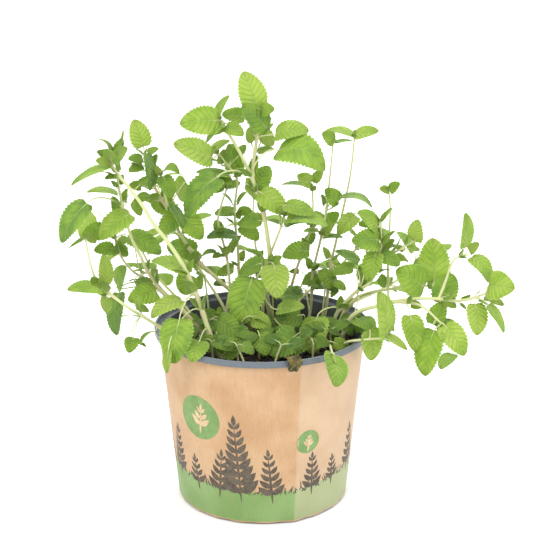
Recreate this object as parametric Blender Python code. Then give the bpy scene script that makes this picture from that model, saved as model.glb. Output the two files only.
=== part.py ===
"""Potted catnip: a 13 cm plastic nursery pot in a paper sleeve, filled with compost and leafy stems.

The pot stands on the floor with its axis on Z and its base at z = 0, and its front faces -Y.
Sizes are in millimetres, and each finished mesh is scaled to metres.
"""

import math
import random

import bmesh
import bpy
from mathutils import Matrix, Quaternion, Vector
from mathutils.bvhtree import BVHTree

MM = 0.001

# Pot
RIM_RADIUS = 65.0
POT_HEIGHT = 108.0
COLLAR_HEIGHT = 3.8
NECK_RADIUS = 60.8
BASE_RADIUS = 50.4
WALL = 1.2
FLOOR = 2.0
ROUNDING = 0.5
DRAIN_HOLES = 8
DRAIN_DIAMETER = 8.0
DRAIN_CIRCLE = 34.0
ROUND_SIDES = 36

# Paper sleeve
PAPER = 0.8
SLEEVE_GAP = 0.5
SLEEVE_BOTTOM = 0.8
SLEEVE_TOP_GAP = 0.5
FOLD_ANGLE = math.radians(-69)
FOLD_RIDGE = 1.3
FOLD_SPREAD = math.radians(8)
SCALLOP_DEPTH = 0.5
SCALLOPS = 20

# Compost
COMPOST_LEVEL = 94.0
COMPOST_CROWN = 1.5
COMPOST_GAP = 0.4
COMPOST_SIDES = 20
COMPOST_BUMP = 0.9
COMPOST_RINGS = (16.0, 34.0, 50.0)
HOLE_GAP = 0.3
ROOT_DEPTH = 15.0
UPRIGHT_FOOT = 2.0
TAPER = 0.45
THINNEST = 0.9

# Withered leaf. Each row of its route is (out from the rim, up from the rim, width).
WITHERED_ANGLE = math.radians(-74)
WITHERED_ROUTE = [(-5.7, -0.6, 3.0), (-2.45, -0.3, 7.0), (-2.25, 1.25, 8.0), (1.05, 1.25, 8.0),
                  (1.25, -1.5, 8.0), (1.9, -3.8, 7.0), (1.5, -5.6, 4.0)]
WITHERED_SWAY = 0.6

# Leaves
LEAF_THICKNESS = 0.65
LEAF_WIDTH = 0.75
STALK_WIDTH = 1.3
SUNK = 1.5
HEART = 0.09
FOLD = 0.16
CUP = 0.10
NOTCH = 0.13
SMALLEST_LEAF = 8.8
CLEARANCE = 0.35
SHORTEST_EDGE = 0.004
PUSHES = (0, 3, -3, 6, -6, 9, -9, 12, -12, 16, -16, 20, -20, 25, -25, 30, -30)

# The plant is laid out as it is seen from this point, in front of the pot and above it. A place on it is
# (x, z, back): seen at (x, z) on the upright plane through the pot's axis, and lying `back` behind it.
EYE = Vector((7.7, -886.6, 426.0))

# Each shoot: node, girth in mm, foot on the compost (x, y) or None for a side shoot, then its route as
# (x, z, back) and its leaves as (place on the route, blade base, blade tip, roll, arch).
SHOOTS = [
    ("leader_stem", 3.0, (8, 14),
     [(6.5, 107, 13), (4.5, 116, 12), (2.5, 127, 10), (3.5, 140, 8), (4.5, 151, 7), (3.2, 163, 6),
      (1, 177, 5), (-2.5, 189, 4), (-5.5, 198, 3),
      (-10, 208, 3), (-15, 218, 2), (-20, 226, 1), (-24, 232.5, 0)],
     [(12, (-25, 233, -3), (-47.5, 231, -6), 14, 10),
      (12, (-26, 235, 2), (-18.5, 247.5, 4), 64, 8),
      (12, (-22, 231, -3), (-32, 220, -8), 74, 6),
      (12, (-21, 229.5, -3), (-10.5, 224, -6), 30, 10),
      (12, (-22, 229, 4), (-31, 226, 8), 40, 10),
      (8, (9.5, 215, -4), (37, 203, -8), 34, 34),
      (8, (-26, 199, -4), (-44.5, 174, -6), 50, 14),
      (7, (-1, 190, -3), (14.5, 176.5, -4), 30, 8),
      (7, (-9.5, 195, 4), (3, 182, 6), 60, 5),
      (8, (-3, 192, 5), (4, 206, 10), 20, 8),
      (6, (0, 172.5, 3), (-14.5, 170.5, 6), 45, 10)]),
    ("leader_stem", 2.2, None,
     [(-5.5, 198, 3), (-5, 206, 5), (-4, 214, 6), (-3, 221, 7), (-1.8, 230, 7), (-2.3, 238, 7)],
     [(5, (-2.6, 241, 1), (-10.5, 261.5, 3), 10, 6),
      (5, (-0.5, 239, -2), (7.5, 239.5, -8), 10, 12),
      (4, (2.5, 228.5, -4), (-11.5, 242, -4), 28, 8),
      (3, (8, 224.5, -3), (27.5, 226.5, -5), 45, 16),
      (4, (-9.5, 234.5, 3), (-23, 237, 5), 35, 8),
      (3, (-1, 225.5, 4), (7.5, 219, 8), 30, 6),
      (3, (-4.5, 226, 4), (-9, 221, 8), 30, 6),
      (2, (-2.5, 214, 2), (7.5, 216, 4), 62, 8)]),
    ("leader_stem", 1.4, None,
     [(4.5, 151, 7), (8, 160, 2), (11, 168, -1), (13, 175, -3)],
     [(3, (14, 182, -2), (31, 176, -4), 48, 8),
      (3, (14.5, 173, -3), (39, 169, -6), 68, 14),
      (3, (15, 176, -1), (20, 178, -5), 10, 5),
      (2, (10.5, 171, 1), (3.5, 173, 2), 65, 10),
      (2, (13.5, 169.5, 1), (26, 171.5, 2), 68, 14)]),
    ("back_left_stem", 1.7, (-13, 34),
     [(-13.8, 116, 33), (-14, 130, 31), (-14, 143, 29), (-14.5, 158, 27), (-15.8, 170, 25), (-16, 181, 23),
      (-15, 190, 22), (-14.5, 198, 21), (-19, 205, 20), (-25, 213, 19)],
     [(9, (-29, 210.5, -4), (-51.5, 219, -6), 42, 6),
      (9, (-30, 214, 2), (-18.5, 221, 2), 62, 10),
      (7, (-15.5, 202, 4), (-19, 219, 6), 155, 6),
      (8, (-13.5, 212, 4), (-9.5, 218.5, 6), 40, 5),
      (7, (-19, 200, -3), (-38.5, 202, -3), 72, 6),
      (7, (-17, 197, -3), (-28, 195, -5), 55, 10),
      (8, (-24, 207, 3), (-22, 216, 5), 50, 5),
      (5, (-16, 178.5, 4), (-28, 176.5, -4), 48, 6),
      (4, (-12, 169.5, -4), (-2, 160.5, -6), 25, 8),
      (5, (-14.5, 178.5, 3), (-5.5, 177, 5), 140, 8),
      (2, (-17, 143, 2), (-27, 139.5, 4), 40, 6)]),
    ("middle_thin_stem", 1.6, (-22, 20),
     [(-21.5, 112, 20), (-19.5, 132, 20), (-21, 150, 20), (-24, 163, 19), (-26, 173, 18), (-24, 182, 17),
      (-21, 191, 17)],
     [(3, (-15, 163, -2), (-33, 162, -4), 62, 12),
      (0, (-24, 109, -6), (-33, 103, -8), 30, 8),
      (2, (-24, 152, -2), (-17.5, 155.5, -3), 40, 8),
      (2, (-24.5, 152, -2), (-29.5, 149.5, -4), 40, 8),
      (6, (-20, 193.5, 8), (-12.5, 196, 4), 40, 5),
      (6, (-22, 193, 2), (-29, 190, 3), 50, 5)]),
    ("left_branch_stem", 2.4, (0, 29),
     [(-2.5, 111, 28), (-9, 119, 26), (-18, 128, 24), (-27, 136.5, 22), (-37, 146.5, 18), (-43, 155, 14),
      (-49, 165.5, 10), (-54, 177, 8), (-57.5, 190, 8), (-59.5, 199, 8)],
     [(9, (-58, 199.5, -3), (-53, 186, -5), 25, 10),
      (9, (-57.5, 203, -2), (-48, 201, -3), 50, 40),
      (9, (-60, 200, 2), (-64.5, 206.5, 4), 40, 8),
      (7, (-53, 180, 4), (-65.5, 185, 8), 10, 8),
      (6, (-50, 176, -6), (-60.5, 164, -8), 10, 8),
      (7, (-52.5, 182, -6), (-47, 168, -10), 60, 5),
      (7, (-46.5, 176, -3), (-35.5, 161, -4), 20, 8),
      (7, (-44.5, 196, 6), (-49, 186, 12), 40, 5),
      (5, (-40, 153, 8), (-56.5, 157.5, 8), 20, 6),
      (4, (-35.5, 151.5, -3), (-27, 153, -3), 65, 15)]),
    ("left_branch_stem", 1.6, None,
     [(-54, 177, 8), (-58, 184, 10), (-62, 191, 12), (-66, 201, 13), (-68.5, 212, 14)],
     [(4, (-69, 217.5, 1), (-74, 233.5, 3), 10, 6),
      (4, (-66.5, 213.5, 2), (-60, 216.5, 3), 45, 8),
      (4, (-69.5, 210, -2), (-78, 210, -4), 35, 8),
      (3, (-69.5, 206, -2), (-78, 202.5, -3), 35, 8),
      (4, (-67, 213, -4), (-66, 191, -8), 66, 6),
      (3, (-64.5, 206, 2), (-61, 213, 3), 45, 5),
      (2, (-71, 193.5, -2), (-78, 194, -5), 20, 6),
      (1, (-66.5, 185.5, -2), (-60, 188, -3), 40, 5),
      (1, (-66, 188.5, 3), (-74, 184, 4), 140, 6)]),
    ("front_left_stem", 2.8, (-25, -24),
     [(-28, 90, -24), (-32, 102, -24), (-35.5, 114, -23), (-39, 125.5, -22), (-44, 138, -21), (-50, 150, -20),
      (-57, 161, -20), (-64, 170.5, -21), (-70, 181, -22), (-77, 191.5, -23),
      (-83, 199, -24), (-87, 205, -24)],
     [(11, (-88.5, 205.5, -3), (-112, 194, -6), 77, 8),
      (11, (-88.5, 207, -3), (-97, 209, -4), 30, 10),
      (11, (-88, 210, 2), (-96, 214.5, 2), 40, 10),
      (11, (-87.5, 214, 2), (-97.5, 221.5, 3), 80, 25),
      (11, (-85.5, 214, 2), (-80.5, 227.5, 3), 80, -10),
      (11, (-84.5, 213, 3), (-81, 222.5, 4), 40, 5),
      (11, (-86, 209, -2), (-78, 216.5, -4), 40, 8),
      (11, (-87, 206.5, -3), (-91, 216, -3), 150, 5),
      (10, (-84.5, 199.5, -2), (-92, 198, -3), 55, 10),
      (3, (-48, 122.5, -6), (-67, 111.5, -8), 54, 16),
      (3, (-50, 110.5, -20), (-54, 82, -14), 18, 8),
      (4, (-44, 141, 3), (-66, 148, 5), 60, 10),
      (4, (-43, 139, 4), (-48, 127, 8), 10, 5),
      (1, (-38, 97, -20), (-43, 83, -16), 12, 10),
      (2, (-57, 91, -31), (-58, 76, -6), 60, 6)]),
    ("left_upright_stem", 2.3, (-31, 4),
     [(-36.5, 103, 3), (-44, 112, 2), (-50, 119, 2), (-56, 125, 1), (-62, 131.5, 0), (-68, 140.5, -2),
      (-73, 152, -4), (-77.5, 162, -5), (-79.5, 170, -6), (-82, 180, -8), (-83.5, 190, -9), (-85, 201, -9)],
     [(10, (-85, 189, -2), (-103, 190, -3), 75, 10),
      (9, (-103, 183, -6), (-119, 159, -6), 52, 10),
      (9, (-85, 175, 3), (-88, 187.5, 4), 48, 6),
      (9, (-76, 184.5, 3), (-71, 176, 4), 40, 6),
      (9, (-78, 176.5, -4), (-96, 161, -8), 40, 12),
      (9, (-72, 194, 2), (-66.5, 199.5, 3), 40, 6),
      (5, (-76, 133.5, 3), (-66, 129.5, 4), 70, 8),
      (4, (-63, 128, -4), (-80.5, 122.5, -8), 24, 12),
      (4, (-76, 119, 3), (-68, 116, 4), 50, 8)]),
    ("left_low_stem", 2.0, (-38, 16),
     [(-41, 106, 16), (-47, 114.5, 15), (-55, 122.5, 14), (-63, 130.5, 13), (-70, 136, 12), (-78, 142, 12),
      (-84, 150.5, 12), (-87, 160.5, 12)],
     [(7, (-93, 167, -3), (-107, 163, -7), 10, 12),
      (7, (-79, 163.5, -3), (-60, 152, -5), 44, 8),
      (7, (-100, 177, 4), (-108, 162, 6), 40, 6),
      (7, (-88, 155.5, -3), (-100, 154, -5), 28, 8),
      (6, (-86.5, 156.5, 3), (-79.5, 151, 4), 30, 6),
      (3, (-87, 132, -6), (-81, 144, -8), 50, 8),
      (3, (-86, 127.5, -9), (-88, 100.5, -10), 58, 8),
      (4, (-80.5, 161, 2), (-87, 158.5, 3), 30, 5)]),
    ("far_left_stem", 2.0, (-46, -20),
     [(-50.5, 95, -22), (-56, 101.5, -24), (-63.0, 106.4, -26), (-72, 112.6, -27), (-81, 118.5, -27),
      (-89, 125, -25), (-95, 130, -22), (-100, 137.5, -20), (-102.5, 147, -18), (-104.5, 160, -16)],
     [(6, (-96, 130, -3), (-117, 129.5, -5), 60, 8),
      (6, (-94, 133, 3), (-94.5, 152, 4), 50, 6),
      (5, (-93, 125, 3), (-94, 114.5, 3), 40, 6),
      (9, (-106, 161, 2), (-115.5, 155, 3), 80, 6),
      (9, (-103.5, 162, 2), (-98, 159.5, 3), 30, 8),
      (3, (-78, 99, -4), (-81, 89, -10), 10, 10),
      (3, (-77, 94.5, -3), (-70.5, 93, -3), 75, 20),
      (2, (-65, 103, -6), (-74, 94, -6), 78, 20)]),
    ("back_red_stem", 1.8, (16, 34),
     [(16.5, 120, 33), (17.5, 131, 30), (19.5, 139, 28), (22, 147, 26), (25.5, 156.5, 24), (28.5, 167, 22),
      (30, 178, 21), (29.8, 190, 20)],
     [(7, (29, 195.5, -2), (20.5, 200, -5), 20, 8),
      (7, (30.5, 196, 2), (35.5, 203.5, 3), 30, 6),
      (7, (27, 194, 1.5), (11.5, 194.5, 1), 78, 8),
      (5, (33.5, 166.5, -1), (24.5, 166, -1), 66, 8),
      (4, (28, 154, -4), (12, 151, -6), 146, 14)]),
    ("right_tall_stem", 1.7, (29, 40),
     [(29.2, 118, 39), (29.8, 129, 36), (30.3, 140, 33), (32.5, 151, 30), (35, 162, 26), (37.8, 178, 21),
      (39, 190, 18), (40.3, 204, 16), (41.4, 218.5, 14)],
     [(8, (42, 220.5, -2), (35, 225.5, -6), 20, 6),
      (8, (43, 219.8, 1), (53, 220.8, 2), 76, 8),
      (5, (45, 184, -3), (37, 191.8, -5), 15, 8),
      (5, (47, 187, -3), (65, 180.5, -3), 74, 20),
      (4, (36, 168, 3), (45.5, 177.5, 5), 150, 8),
      (4, (36, 173, 3), (31, 178.5, 4), 40, 6),
      (4, (55.5, 175.5, -3), (45, 164, -5), 34, 12),
      (4, (36, 164, -3), (42.5, 171, -4), 40, 6),
      (4, (36.5, 162.3, -2), (48, 162.2, -2), 72, 8),
      (2, (33, 139, 2), (24, 133, 2), 40, 8),
      (2, (38, 143.3, 2), (26, 145.5, 2), 76, 6),
      (1, (41, 131, 1), (31.5, 130, -3), 60, 12)]),
    ("right_back_stem", 1.8, (38, 33),
     [(38.5, 118, 32), (39.5, 130, 31), (41, 146, 30), (43.5, 157.5, 30), (46, 170, 30), (49, 185, 30),
      (51.3, 197, 30), (52.8, 209, 30), (53.8, 222, 30)],
     [(8, (54.5, 224, -2), (68, 226.5, -4), 50, 10),
      (8, (53, 224.3, 1), (36.5, 226.5, 2), 70, 12),
      (2, (45, 142.5, 2), (38, 146.5, 3), 30, 8),
      (2, (43, 134, -3), (33, 140.5, -5), 20, 8),
      (2, (43, 134.5, -3), (50, 129, -5), 40, 8),
      (1, (41, 127, -2), (46, 129, -5), 30, 8)]),
    ("right_front_stem", 2.2, (42, 8),
     [(42.8, 104, 8), (43.8, 111, 6), (46, 116.5, 4), (51, 122.8, 2), (57, 128.8, 0), (64, 133.5, -2),
      (67.5, 140.5, -4), (69, 149, -5), (70.8, 158, -5), (70.3, 171, -3)],
     [(9, (70.5, 172.5, 1), (77, 180.5, 2), 68, 6),
      (9, (68.5, 168.5, -2), (56.5, 178, -4), 45, 10),
      (9, (67, 171, 2), (57, 170, 3), 140, 6),
      (8, (69.5, 160.5, -3), (53, 160, -7), 10, 14),
      (8, (71.2, 160.5, -2), (75, 161.5, -6), 20, 6),
      (7, (68, 153, -5), (63.5, 134.5, -6), 32, 8),
      (7, (70.5, 151.5, -4), (82, 144.5, -8), 30, 10),
      (7, (70.5, 153.5, 2), (80.5, 157.2, 2), 70, 10),
      (6, (70, 137.5, 2), (74, 131.5, 4), 30, 6),
      (4, (57.5, 146.8, 3), (43.5, 154, 3), 60, 8),
      (4, (54.5, 143, 5), (42, 139.5, 6), 50, 12),
      (4, (57, 141.5, 4), (64, 133.5, 5), 38, 8),
      (2, (33, 112, -12), (30, 88.3, -14), 20, 8)]),
    ("right_front_stem", 1.4, None,
     [(69, 149, -5), (76, 151.5, -6), (83, 155.5, -7), (89.5, 159.8, -8)],
     [(3, (91, 160.3, -2), (92.5, 173.2, -4), 30, 8),
      (1, (79, 150.5, -2), (86, 148, -3), 30, 8),
      (2, (84.5, 154, 2), (79, 157, 3), 40, 8)]),
    ("right_arm_stem", 2.5, (46, -3),
     [(48, 97.5, -5), (50.5, 106, -7), (55, 113.5, -9), (62, 117.3, -10), (69, 119, -10), (76, 121.3, -10),
      (84, 123, -10), (95, 124, -12), (106, 123.7, -14), (117, 122.4, -16),
      (127, 124.5, -18), (134, 127, -18)],
     [(11, (136, 132.5, -2), (151.5, 130.5, -19), 8, 8),
      (11, (137, 123.5, -2), (145.5, 119.5, -3), 50, 8),
      (11, (134.5, 122.5, 3), (137, 127.5, 4), 40, 8),
      (10, (136, 119.5, -4), (146.2, 102, -5), 68, 8),
      (9, (128, 120.5, -4), (130, 100.3, -6), 30, 10),
      (8, (108, 121.5, 5), (113, 140, 14), 12, 8)]),
    ("right_arm_stem", 1.6, None,
     [(76, 121.3, -10), (85, 121.5, -14), (94, 120, -18), (100, 116, -20),
      (105, 111, -22), (108, 108.2, -22)],
     [(1, (89, 113, -8), (92.5, 90.3, -9), 36, 8),
      (5, (104, 103.5, -4), (99, 74, -8), 38, 8),
      (5, (110, 107, -4), (123, 87.5, -8), 30, 8),
      (5, (115.5, 88.5, 6), (108.5, 78.5, 5), 140, 6),
      (4, (103, 107.5, 3), (109, 122, 7), 12, 8),
      (5, (109, 109, 2), (116, 109.8, 2), 60, 8),
      (5, (108, 107.5, 2), (107, 101, 3), 60, 8)]),
    ("right_arm_stem", 1.6, None,
     [(106, 123.7, -14), (109.5, 134, -6), (112, 143, -4), (114, 148, -4), (116.5, 149.8, -4)],
     [(4, (120.3, 156, 1), (120, 177.5, 2), 62, 8),
      (4, (123.3, 153.3, -2), (129, 158.8, -3), 30, 8),
      (4, (124.5, 149.8, -3), (136, 134, -5), 48, 22)]),
    ("right_arm_stem", 1.4, None,
     [(76, 121.3, -10), (75.3, 135, 0), (75, 150, 8), (75.5, 165, 12), (75.6, 180, 13), (74.6, 190, 13)],
     [(5, (75, 191, -1), (81, 195.6, -4), 25, 8),
      (5, (74.4, 191, -1), (69, 192, -4), 25, 8)]),
    ("right_low_stem", 1.6, (44, -24),
     [(46, 92, -26), (49, 94.5, -29), (52, 96.3, -33), (57.5, 97.3, -36), (65, 98, -37), (72.5, 98.5, -37)],
     [(5, (75.5, 101, -2), (69.5, 128, -4), 58, 6),
      (5, (75, 100.2, -2), (88, 91, -3), 66, 6),
      (5, (76.3, 108.5, 4), (80, 104, 5), 55, 6),
      (4, (65, 104, 4), (67, 84.2, 2), 34, 8),
      (0, (43, 95, 3), (52, 91, -5), 40, 10)]),
    ("right_middle_stem", 2.2, (45, 15),
     [(46, 106, 15), (49.5, 115.5, 14), (57, 124.3, 12), (66, 128, 10), (75, 129.6, 8), (83, 131, 6),
      (92, 131.5, 4), (98, 132, 3)],
     [(7, (97, 131.5, -4), (80, 142, -12), 10, 8),
      (7, (103, 135, 4), (101, 162, 10), 8, 8),
      (2, (57, 111, -22), (67, 103, -16), 44, 10),
      (1, (49, 107, -3), (55, 100.5, -2), 30, 10)]),
    ("front_right_stem", 1.4, (38, -9),
     [(40.5, 93.5, -14), (41, 94, -30), (41.5, 92.5, -42), (42.3, 89.6, -54), (43, 87, -60)],
     [(4, (43.5, 88, -6), (44.5, 67, 5), 140, 8),
      (0, (42, 104, 2), (43, 98, 1), 40, 8)]),
    ("front_right_low_stem", 1.8, (17, -14),
     [(16, 93.5, -15), (14, 98.5, -16), (13, 104, -17)],
     [(2, (17, 101, -5), (7, 85, -12), 20, 10),
      (2, (14, 110, 4), (21, 103, 5), 50, 8),
      (2, (8, 112, 4), (21, 114.5, 7), 120, 6),
      (1, (25, 94, -4), (13, 85.5, -14), 50, 8)]),
    ("front_middle_stem", 1.6, (-3, -14),
     [(-4.5, 93.5, -15), (-11, 100, -17), (-13, 106.5, -18)],
     [(2, (-5.5, 112.5, -3), (5, 106, -4), 64, 24),
      (0, (2.5, 101.5, -4), (0.5, 86.3, -10), 10, 8),
      (2, (-3, 109, 4), (-2, 102, 5), 50, 6)]),
    ("front_short_stem", 1.8, (-22, -6),
     [(-23.5, 96.5, -7), (-26, 104, -8), (-26, 112.5, -9)],
     [(2, (-25.5, 111.5, -3), (-20, 97.5, -8), 10, 8),
      (0, (-22, 92.5, -9), (-14.5, 104, -2), 150, 4),
      (2, (-32, 110, 3), (-38, 105, 4), 40, 8),
      (2, (-18, 110.5, -2), (-12, 104, -4), 40, 8)]),
    ("centre_stem", 2.2, (-7, 4),
     [(-8, 108, 2), (-7.5, 122, 0), (-4.5, 134, -3), (0, 142, -5), (4, 147, -6)],
     [(2, (-6, 136.5, -6), (-14, 107, -8), 14, 8),
      (4, (7, 145, -4), (9, 124, -16), 8, 8),
      (3, (-1, 146, 4), (-14, 139.5, 6), 42, 6),
      (4, (11, 124.5, 6), (24.5, 127, 8), 46, 6),
      (2, (9, 117, -9), (25.5, 118.5, -4), 54, 8)]),
]

# Shoots that the front of the plant hides: node, girth, foot and route. Their leaves stand in opposite
# pairs, each pair a quarter turn from the one below.
REAR_SHOOTS = [
    ("rear_left_stem", 1.8, (-22, 38),
     [(-25, 122, 42), (-37, 142, 60), (-47, 162, 70), (-56, 179, 78), (-61, 193, 82)]),
    ("rear_middle_stem", 1.8, (4, 44), [(3, 124, 47), (-2, 146, 64), (-5, 167, 72), (-5, 187, 78)]),
    ("rear_right_stem", 1.8, (20, 43), [(23, 124, 47), (43, 141, 64), (55, 154, 70), (65, 164, 74)]),
    ("rear_far_right_stem", 1.8, (44, 23), [(47, 117, 26), (74, 131, 44), (90, 143, 54), (101, 153, 60)]),
    ("rear_far_left_stem", 1.8, (-43, 24), [(-45, 117, 27), (-63, 138, 46), (-72, 155, 54), (-80, 169, 58)]),
]
REAR_LEAF = 21.0
REAR_TOP_LEAF = 12.0
REAR_STALK = 9.0
REAR_SEED = 5


def clear_scene():
    for obj in list(bpy.data.objects):
        bpy.data.objects.remove(obj, do_unlink=True)


def finish(name, color, roughness):
    """A Principled material for one piece."""
    material = bpy.data.materials.new(name)
    material.use_nodes = True
    shader = material.node_tree.nodes["Principled BSDF"]
    shader.inputs["Base Color"].default_value = (*color, 1.0)
    shader.inputs["Roughness"].default_value = roughness
    shader.inputs["Metallic"].default_value = 0.0
    return material


def add_object(name, bm, material=None, collection=None):
    """A mesh object from a bmesh in millimetres."""
    bm.transform(Matrix.Scale(MM, 4))
    mesh = bpy.data.meshes.new(name)
    bm.to_mesh(mesh)
    bm.free()
    if material:
        mesh.materials.append(material)
    obj = bpy.data.objects.new(name, mesh)
    (collection or bpy.context.scene.collection).objects.link(obj)
    return obj


def shade_round(obj, degrees=35):
    obj.data.shade_smooth()
    obj.data.set_sharp_from_angle(angle=math.radians(degrees))


def turned(profile, sides, start=0.0):
    """A closed solid from an outline of (radius, height) points turned about Z."""
    bm = bmesh.new()
    corners = [bm.verts.new((r * math.cos(start), r * math.sin(start), z)) for r, z in profile]
    edges = [bm.edges.new((a, b)) for a, b in zip(corners, corners[1:] + corners[:1])]
    bmesh.ops.spin(bm, geom=corners + edges, cent=(0, 0, 0), axis=(0, 0, 1), angle=math.tau, steps=sides,
                   use_merge=True)
    bmesh.ops.remove_doubles(bm, verts=bm.verts[:], dist=0.01)
    bmesh.ops.recalc_face_normals(bm, faces=bm.faces[:])
    return bm


def cut_or_join(obj, helpers, operation, solver="EXACT"):
    """Apply one Boolean with a collection of helper objects, then remove them."""
    boolean = obj.modifiers.new(operation.lower(), "BOOLEAN")
    boolean.operation = operation
    boolean.operand_type = "COLLECTION"
    boolean.collection = helpers
    boolean.solver = solver
    bpy.context.view_layer.update()
    result = bpy.data.meshes.new_from_object(obj.evaluated_get(bpy.context.evaluated_depsgraph_get()))
    obj.modifiers.clear()
    obj.data = result
    for helper in list(helpers.objects):
        bpy.data.objects.remove(helper, do_unlink=True)
    bpy.data.collections.remove(helpers)


def helper_collection(name):
    collection = bpy.data.collections.new(name)
    bpy.context.scene.collection.children.link(collection)
    return collection


def wall_radius(z):
    """The outer radius of the pot's tapered wall."""
    return BASE_RADIUS + (NECK_RADIUS - BASE_RADIUS) * z / (POT_HEIGHT - COLLAR_HEIGHT)


def make_pot():
    """Injection-moulded pot: flat floor, tapered wall, stepped stacking collar."""
    ledge = POT_HEIGHT - COLLAR_HEIGHT
    profile = [
        (0, 0), (BASE_RADIUS - ROUNDING * 3, 0), (wall_radius(ROUNDING * 3), ROUNDING * 3),
        (NECK_RADIUS, ledge), (RIM_RADIUS - ROUNDING, ledge), (RIM_RADIUS, ledge + ROUNDING),
        (RIM_RADIUS, POT_HEIGHT - ROUNDING), (RIM_RADIUS - ROUNDING, POT_HEIGHT),
        (RIM_RADIUS - WALL, POT_HEIGHT),
        (RIM_RADIUS - WALL, ledge + WALL), (NECK_RADIUS - WALL, ledge + WALL),
        (wall_radius(FLOOR) - WALL, FLOOR),
        (0, FLOOR),
    ]
    material = finish("blue_grey_plastic", (0.13, 0.16, 0.18), 0.45)
    pot = add_object("pot", turned(profile, ROUND_SIDES, FOLD_ANGLE), material)
    drains = helper_collection("drains")
    for i in range(DRAIN_HOLES):
        angle = math.tau * (i + 0.5) / DRAIN_HOLES
        bm = bmesh.new()
        x, y = DRAIN_CIRCLE * math.cos(angle), DRAIN_CIRCLE * math.sin(angle)
        place = Matrix.Translation((x, y, FLOOR / 2))
        bmesh.ops.create_cone(bm, cap_ends=True, segments=10, radius1=DRAIN_DIAMETER / 2,
                              radius2=DRAIN_DIAMETER / 2, depth=FLOOR * 3, matrix=place)
        add_object(f"drain_{i}", bm, collection=drains)
    cut_or_join(pot, drains, "DIFFERENCE")
    shade_round(pot)


def make_sleeve():
    """Card sleeve round the wall: two folds opposite each other, and a finely scalloped bottom edge."""
    top = POT_HEIGHT - COLLAR_HEIGHT - SLEEVE_TOP_GAP
    inner_low = wall_radius(SLEEVE_BOTTOM) + SLEEVE_GAP
    inner_high = wall_radius(top) + SLEEVE_GAP
    profile = [(inner_low + PAPER, SLEEVE_BOTTOM), (inner_high + PAPER, top), (inner_high, top),
               (inner_low, SLEEVE_BOTTOM)]
    bm = turned(profile, ROUND_SIDES, FOLD_ANGLE)
    for vert in bm.verts:
        angle = math.atan2(vert.co.y, vert.co.x) - FOLD_ANGLE
        off_fold = abs((angle + math.pi / 2) % math.pi - math.pi / 2)
        ridge = FOLD_RIDGE * math.exp(-(off_fold / FOLD_SPREAD) ** 2)
        radius = math.hypot(vert.co.x, vert.co.y)
        vert.co.x *= 1 + ridge / radius
        vert.co.y *= 1 + ridge / radius
        if vert.co.z < top / 2:
            vert.co.z += SCALLOP_DEPTH * (0.5 - 0.5 * math.cos(SCALLOPS * angle))
    bmesh.ops.triangulate(bm, faces=bm.faces[:])
    sleeve = add_object("paper_sleeve", bm, finish("kraft_paper", (0.55, 0.36, 0.21), 0.85))
    shade_round(sleeve)


def make_compost(feet):
    """Compost plug, crowned and crumbly on top, with a plain square hole for each stem."""
    low = FLOOR + COMPOST_GAP
    inset = WALL + COMPOST_GAP
    edge = wall_radius(COMPOST_LEVEL) - inset
    profile = [(0, low), (wall_radius(low) - inset, low), (edge, COMPOST_LEVEL)]
    for ring in reversed(COMPOST_RINGS):
        profile.append((ring, COMPOST_LEVEL + COMPOST_CROWN * (1 - (ring / edge) ** 2)))
    profile.append((0, COMPOST_LEVEL + COMPOST_CROWN))
    bm = turned(profile, COMPOST_SIDES, FOLD_ANGLE)
    rng = random.Random(3)
    for vert in bm.verts:
        if vert.co.z > COMPOST_LEVEL + 0.01:
            vert.co.z += rng.uniform(-COMPOST_BUMP, COMPOST_BUMP)
    bmesh.ops.triangulate(bm, faces=bm.faces[:])
    compost = add_object("compost", bm, finish("dark_compost", (0.03, 0.022, 0.016), 0.95))
    holes = helper_collection("stem_holes")
    for i, (girth, (x, y)) in enumerate(feet):
        bm = bmesh.new()
        side = girth + 2 * HOLE_GAP
        depth = ROOT_DEPTH + HOLE_GAP
        size = Matrix.Diagonal((side, side, depth * 2, 1.0))
        bmesh.ops.create_cube(bm, size=1.0, matrix=Matrix.Translation((x, y, COMPOST_LEVEL)) @ size)
        add_object(f"hole_{i}", bm, collection=holes)
    cut_or_join(compost, holes, "DIFFERENCE")


def sighted(x, z, back):
    """The point seen at (x, z) on the upright plane through the pot's axis, lying `back` behind it."""
    return EYE + (Vector((x, 0.0, z)) - EYE) * (1.0 - back / EYE.y)


def pushed(point, distance):
    """The point moved away from the eye along its line of sight."""
    return EYE + (point - EYE) * (1.0 - distance / EYE.y)


def shoot_path(foot, route):
    """Centre points of a shoot: straight up out of the compost, then along its route."""
    points = [sighted(*place) for place in route]
    if foot:
        x, y = foot
        points.insert(0, Vector((x, y, COMPOST_LEVEL + UPRIGHT_FOOT)))
        points.insert(0, Vector((x, y, COMPOST_LEVEL - ROOT_DEPTH)))
    return points


def add_tube(bm, path, girths):
    """A closed square tube along a path, its sides kept from twisting."""
    side = Vector((1, 0, 0))
    rings = []
    for i, point in enumerate(path):
        ahead = (path[min(i + 1, len(path) - 1)] - path[max(i - 1, 0)]).normalized()
        if i == 0:
            ahead = (path[1] - path[0]).normalized()
        side = (side - ahead * side.dot(ahead)).normalized()
        other = ahead.cross(side)
        half = girths[i] / 2
        corners = [(half, half), (-half, half), (-half, -half), (half, -half)]
        rings.append([bm.verts.new(point + side * a + other * b) for a, b in corners])
    for low, high in zip(rings, rings[1:]):
        for k in range(4):
            a, b, c, d = low[k], low[(k + 1) % 4], high[(k + 1) % 4], high[k]
            bm.faces.new((a, b, c))
            bm.faces.new((a, c, d))
    for ring in (rings[0][::-1], rings[-1]):
        bm.faces.new(ring[:3])
        bm.faces.new((ring[0], ring[2], ring[3]))


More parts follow.
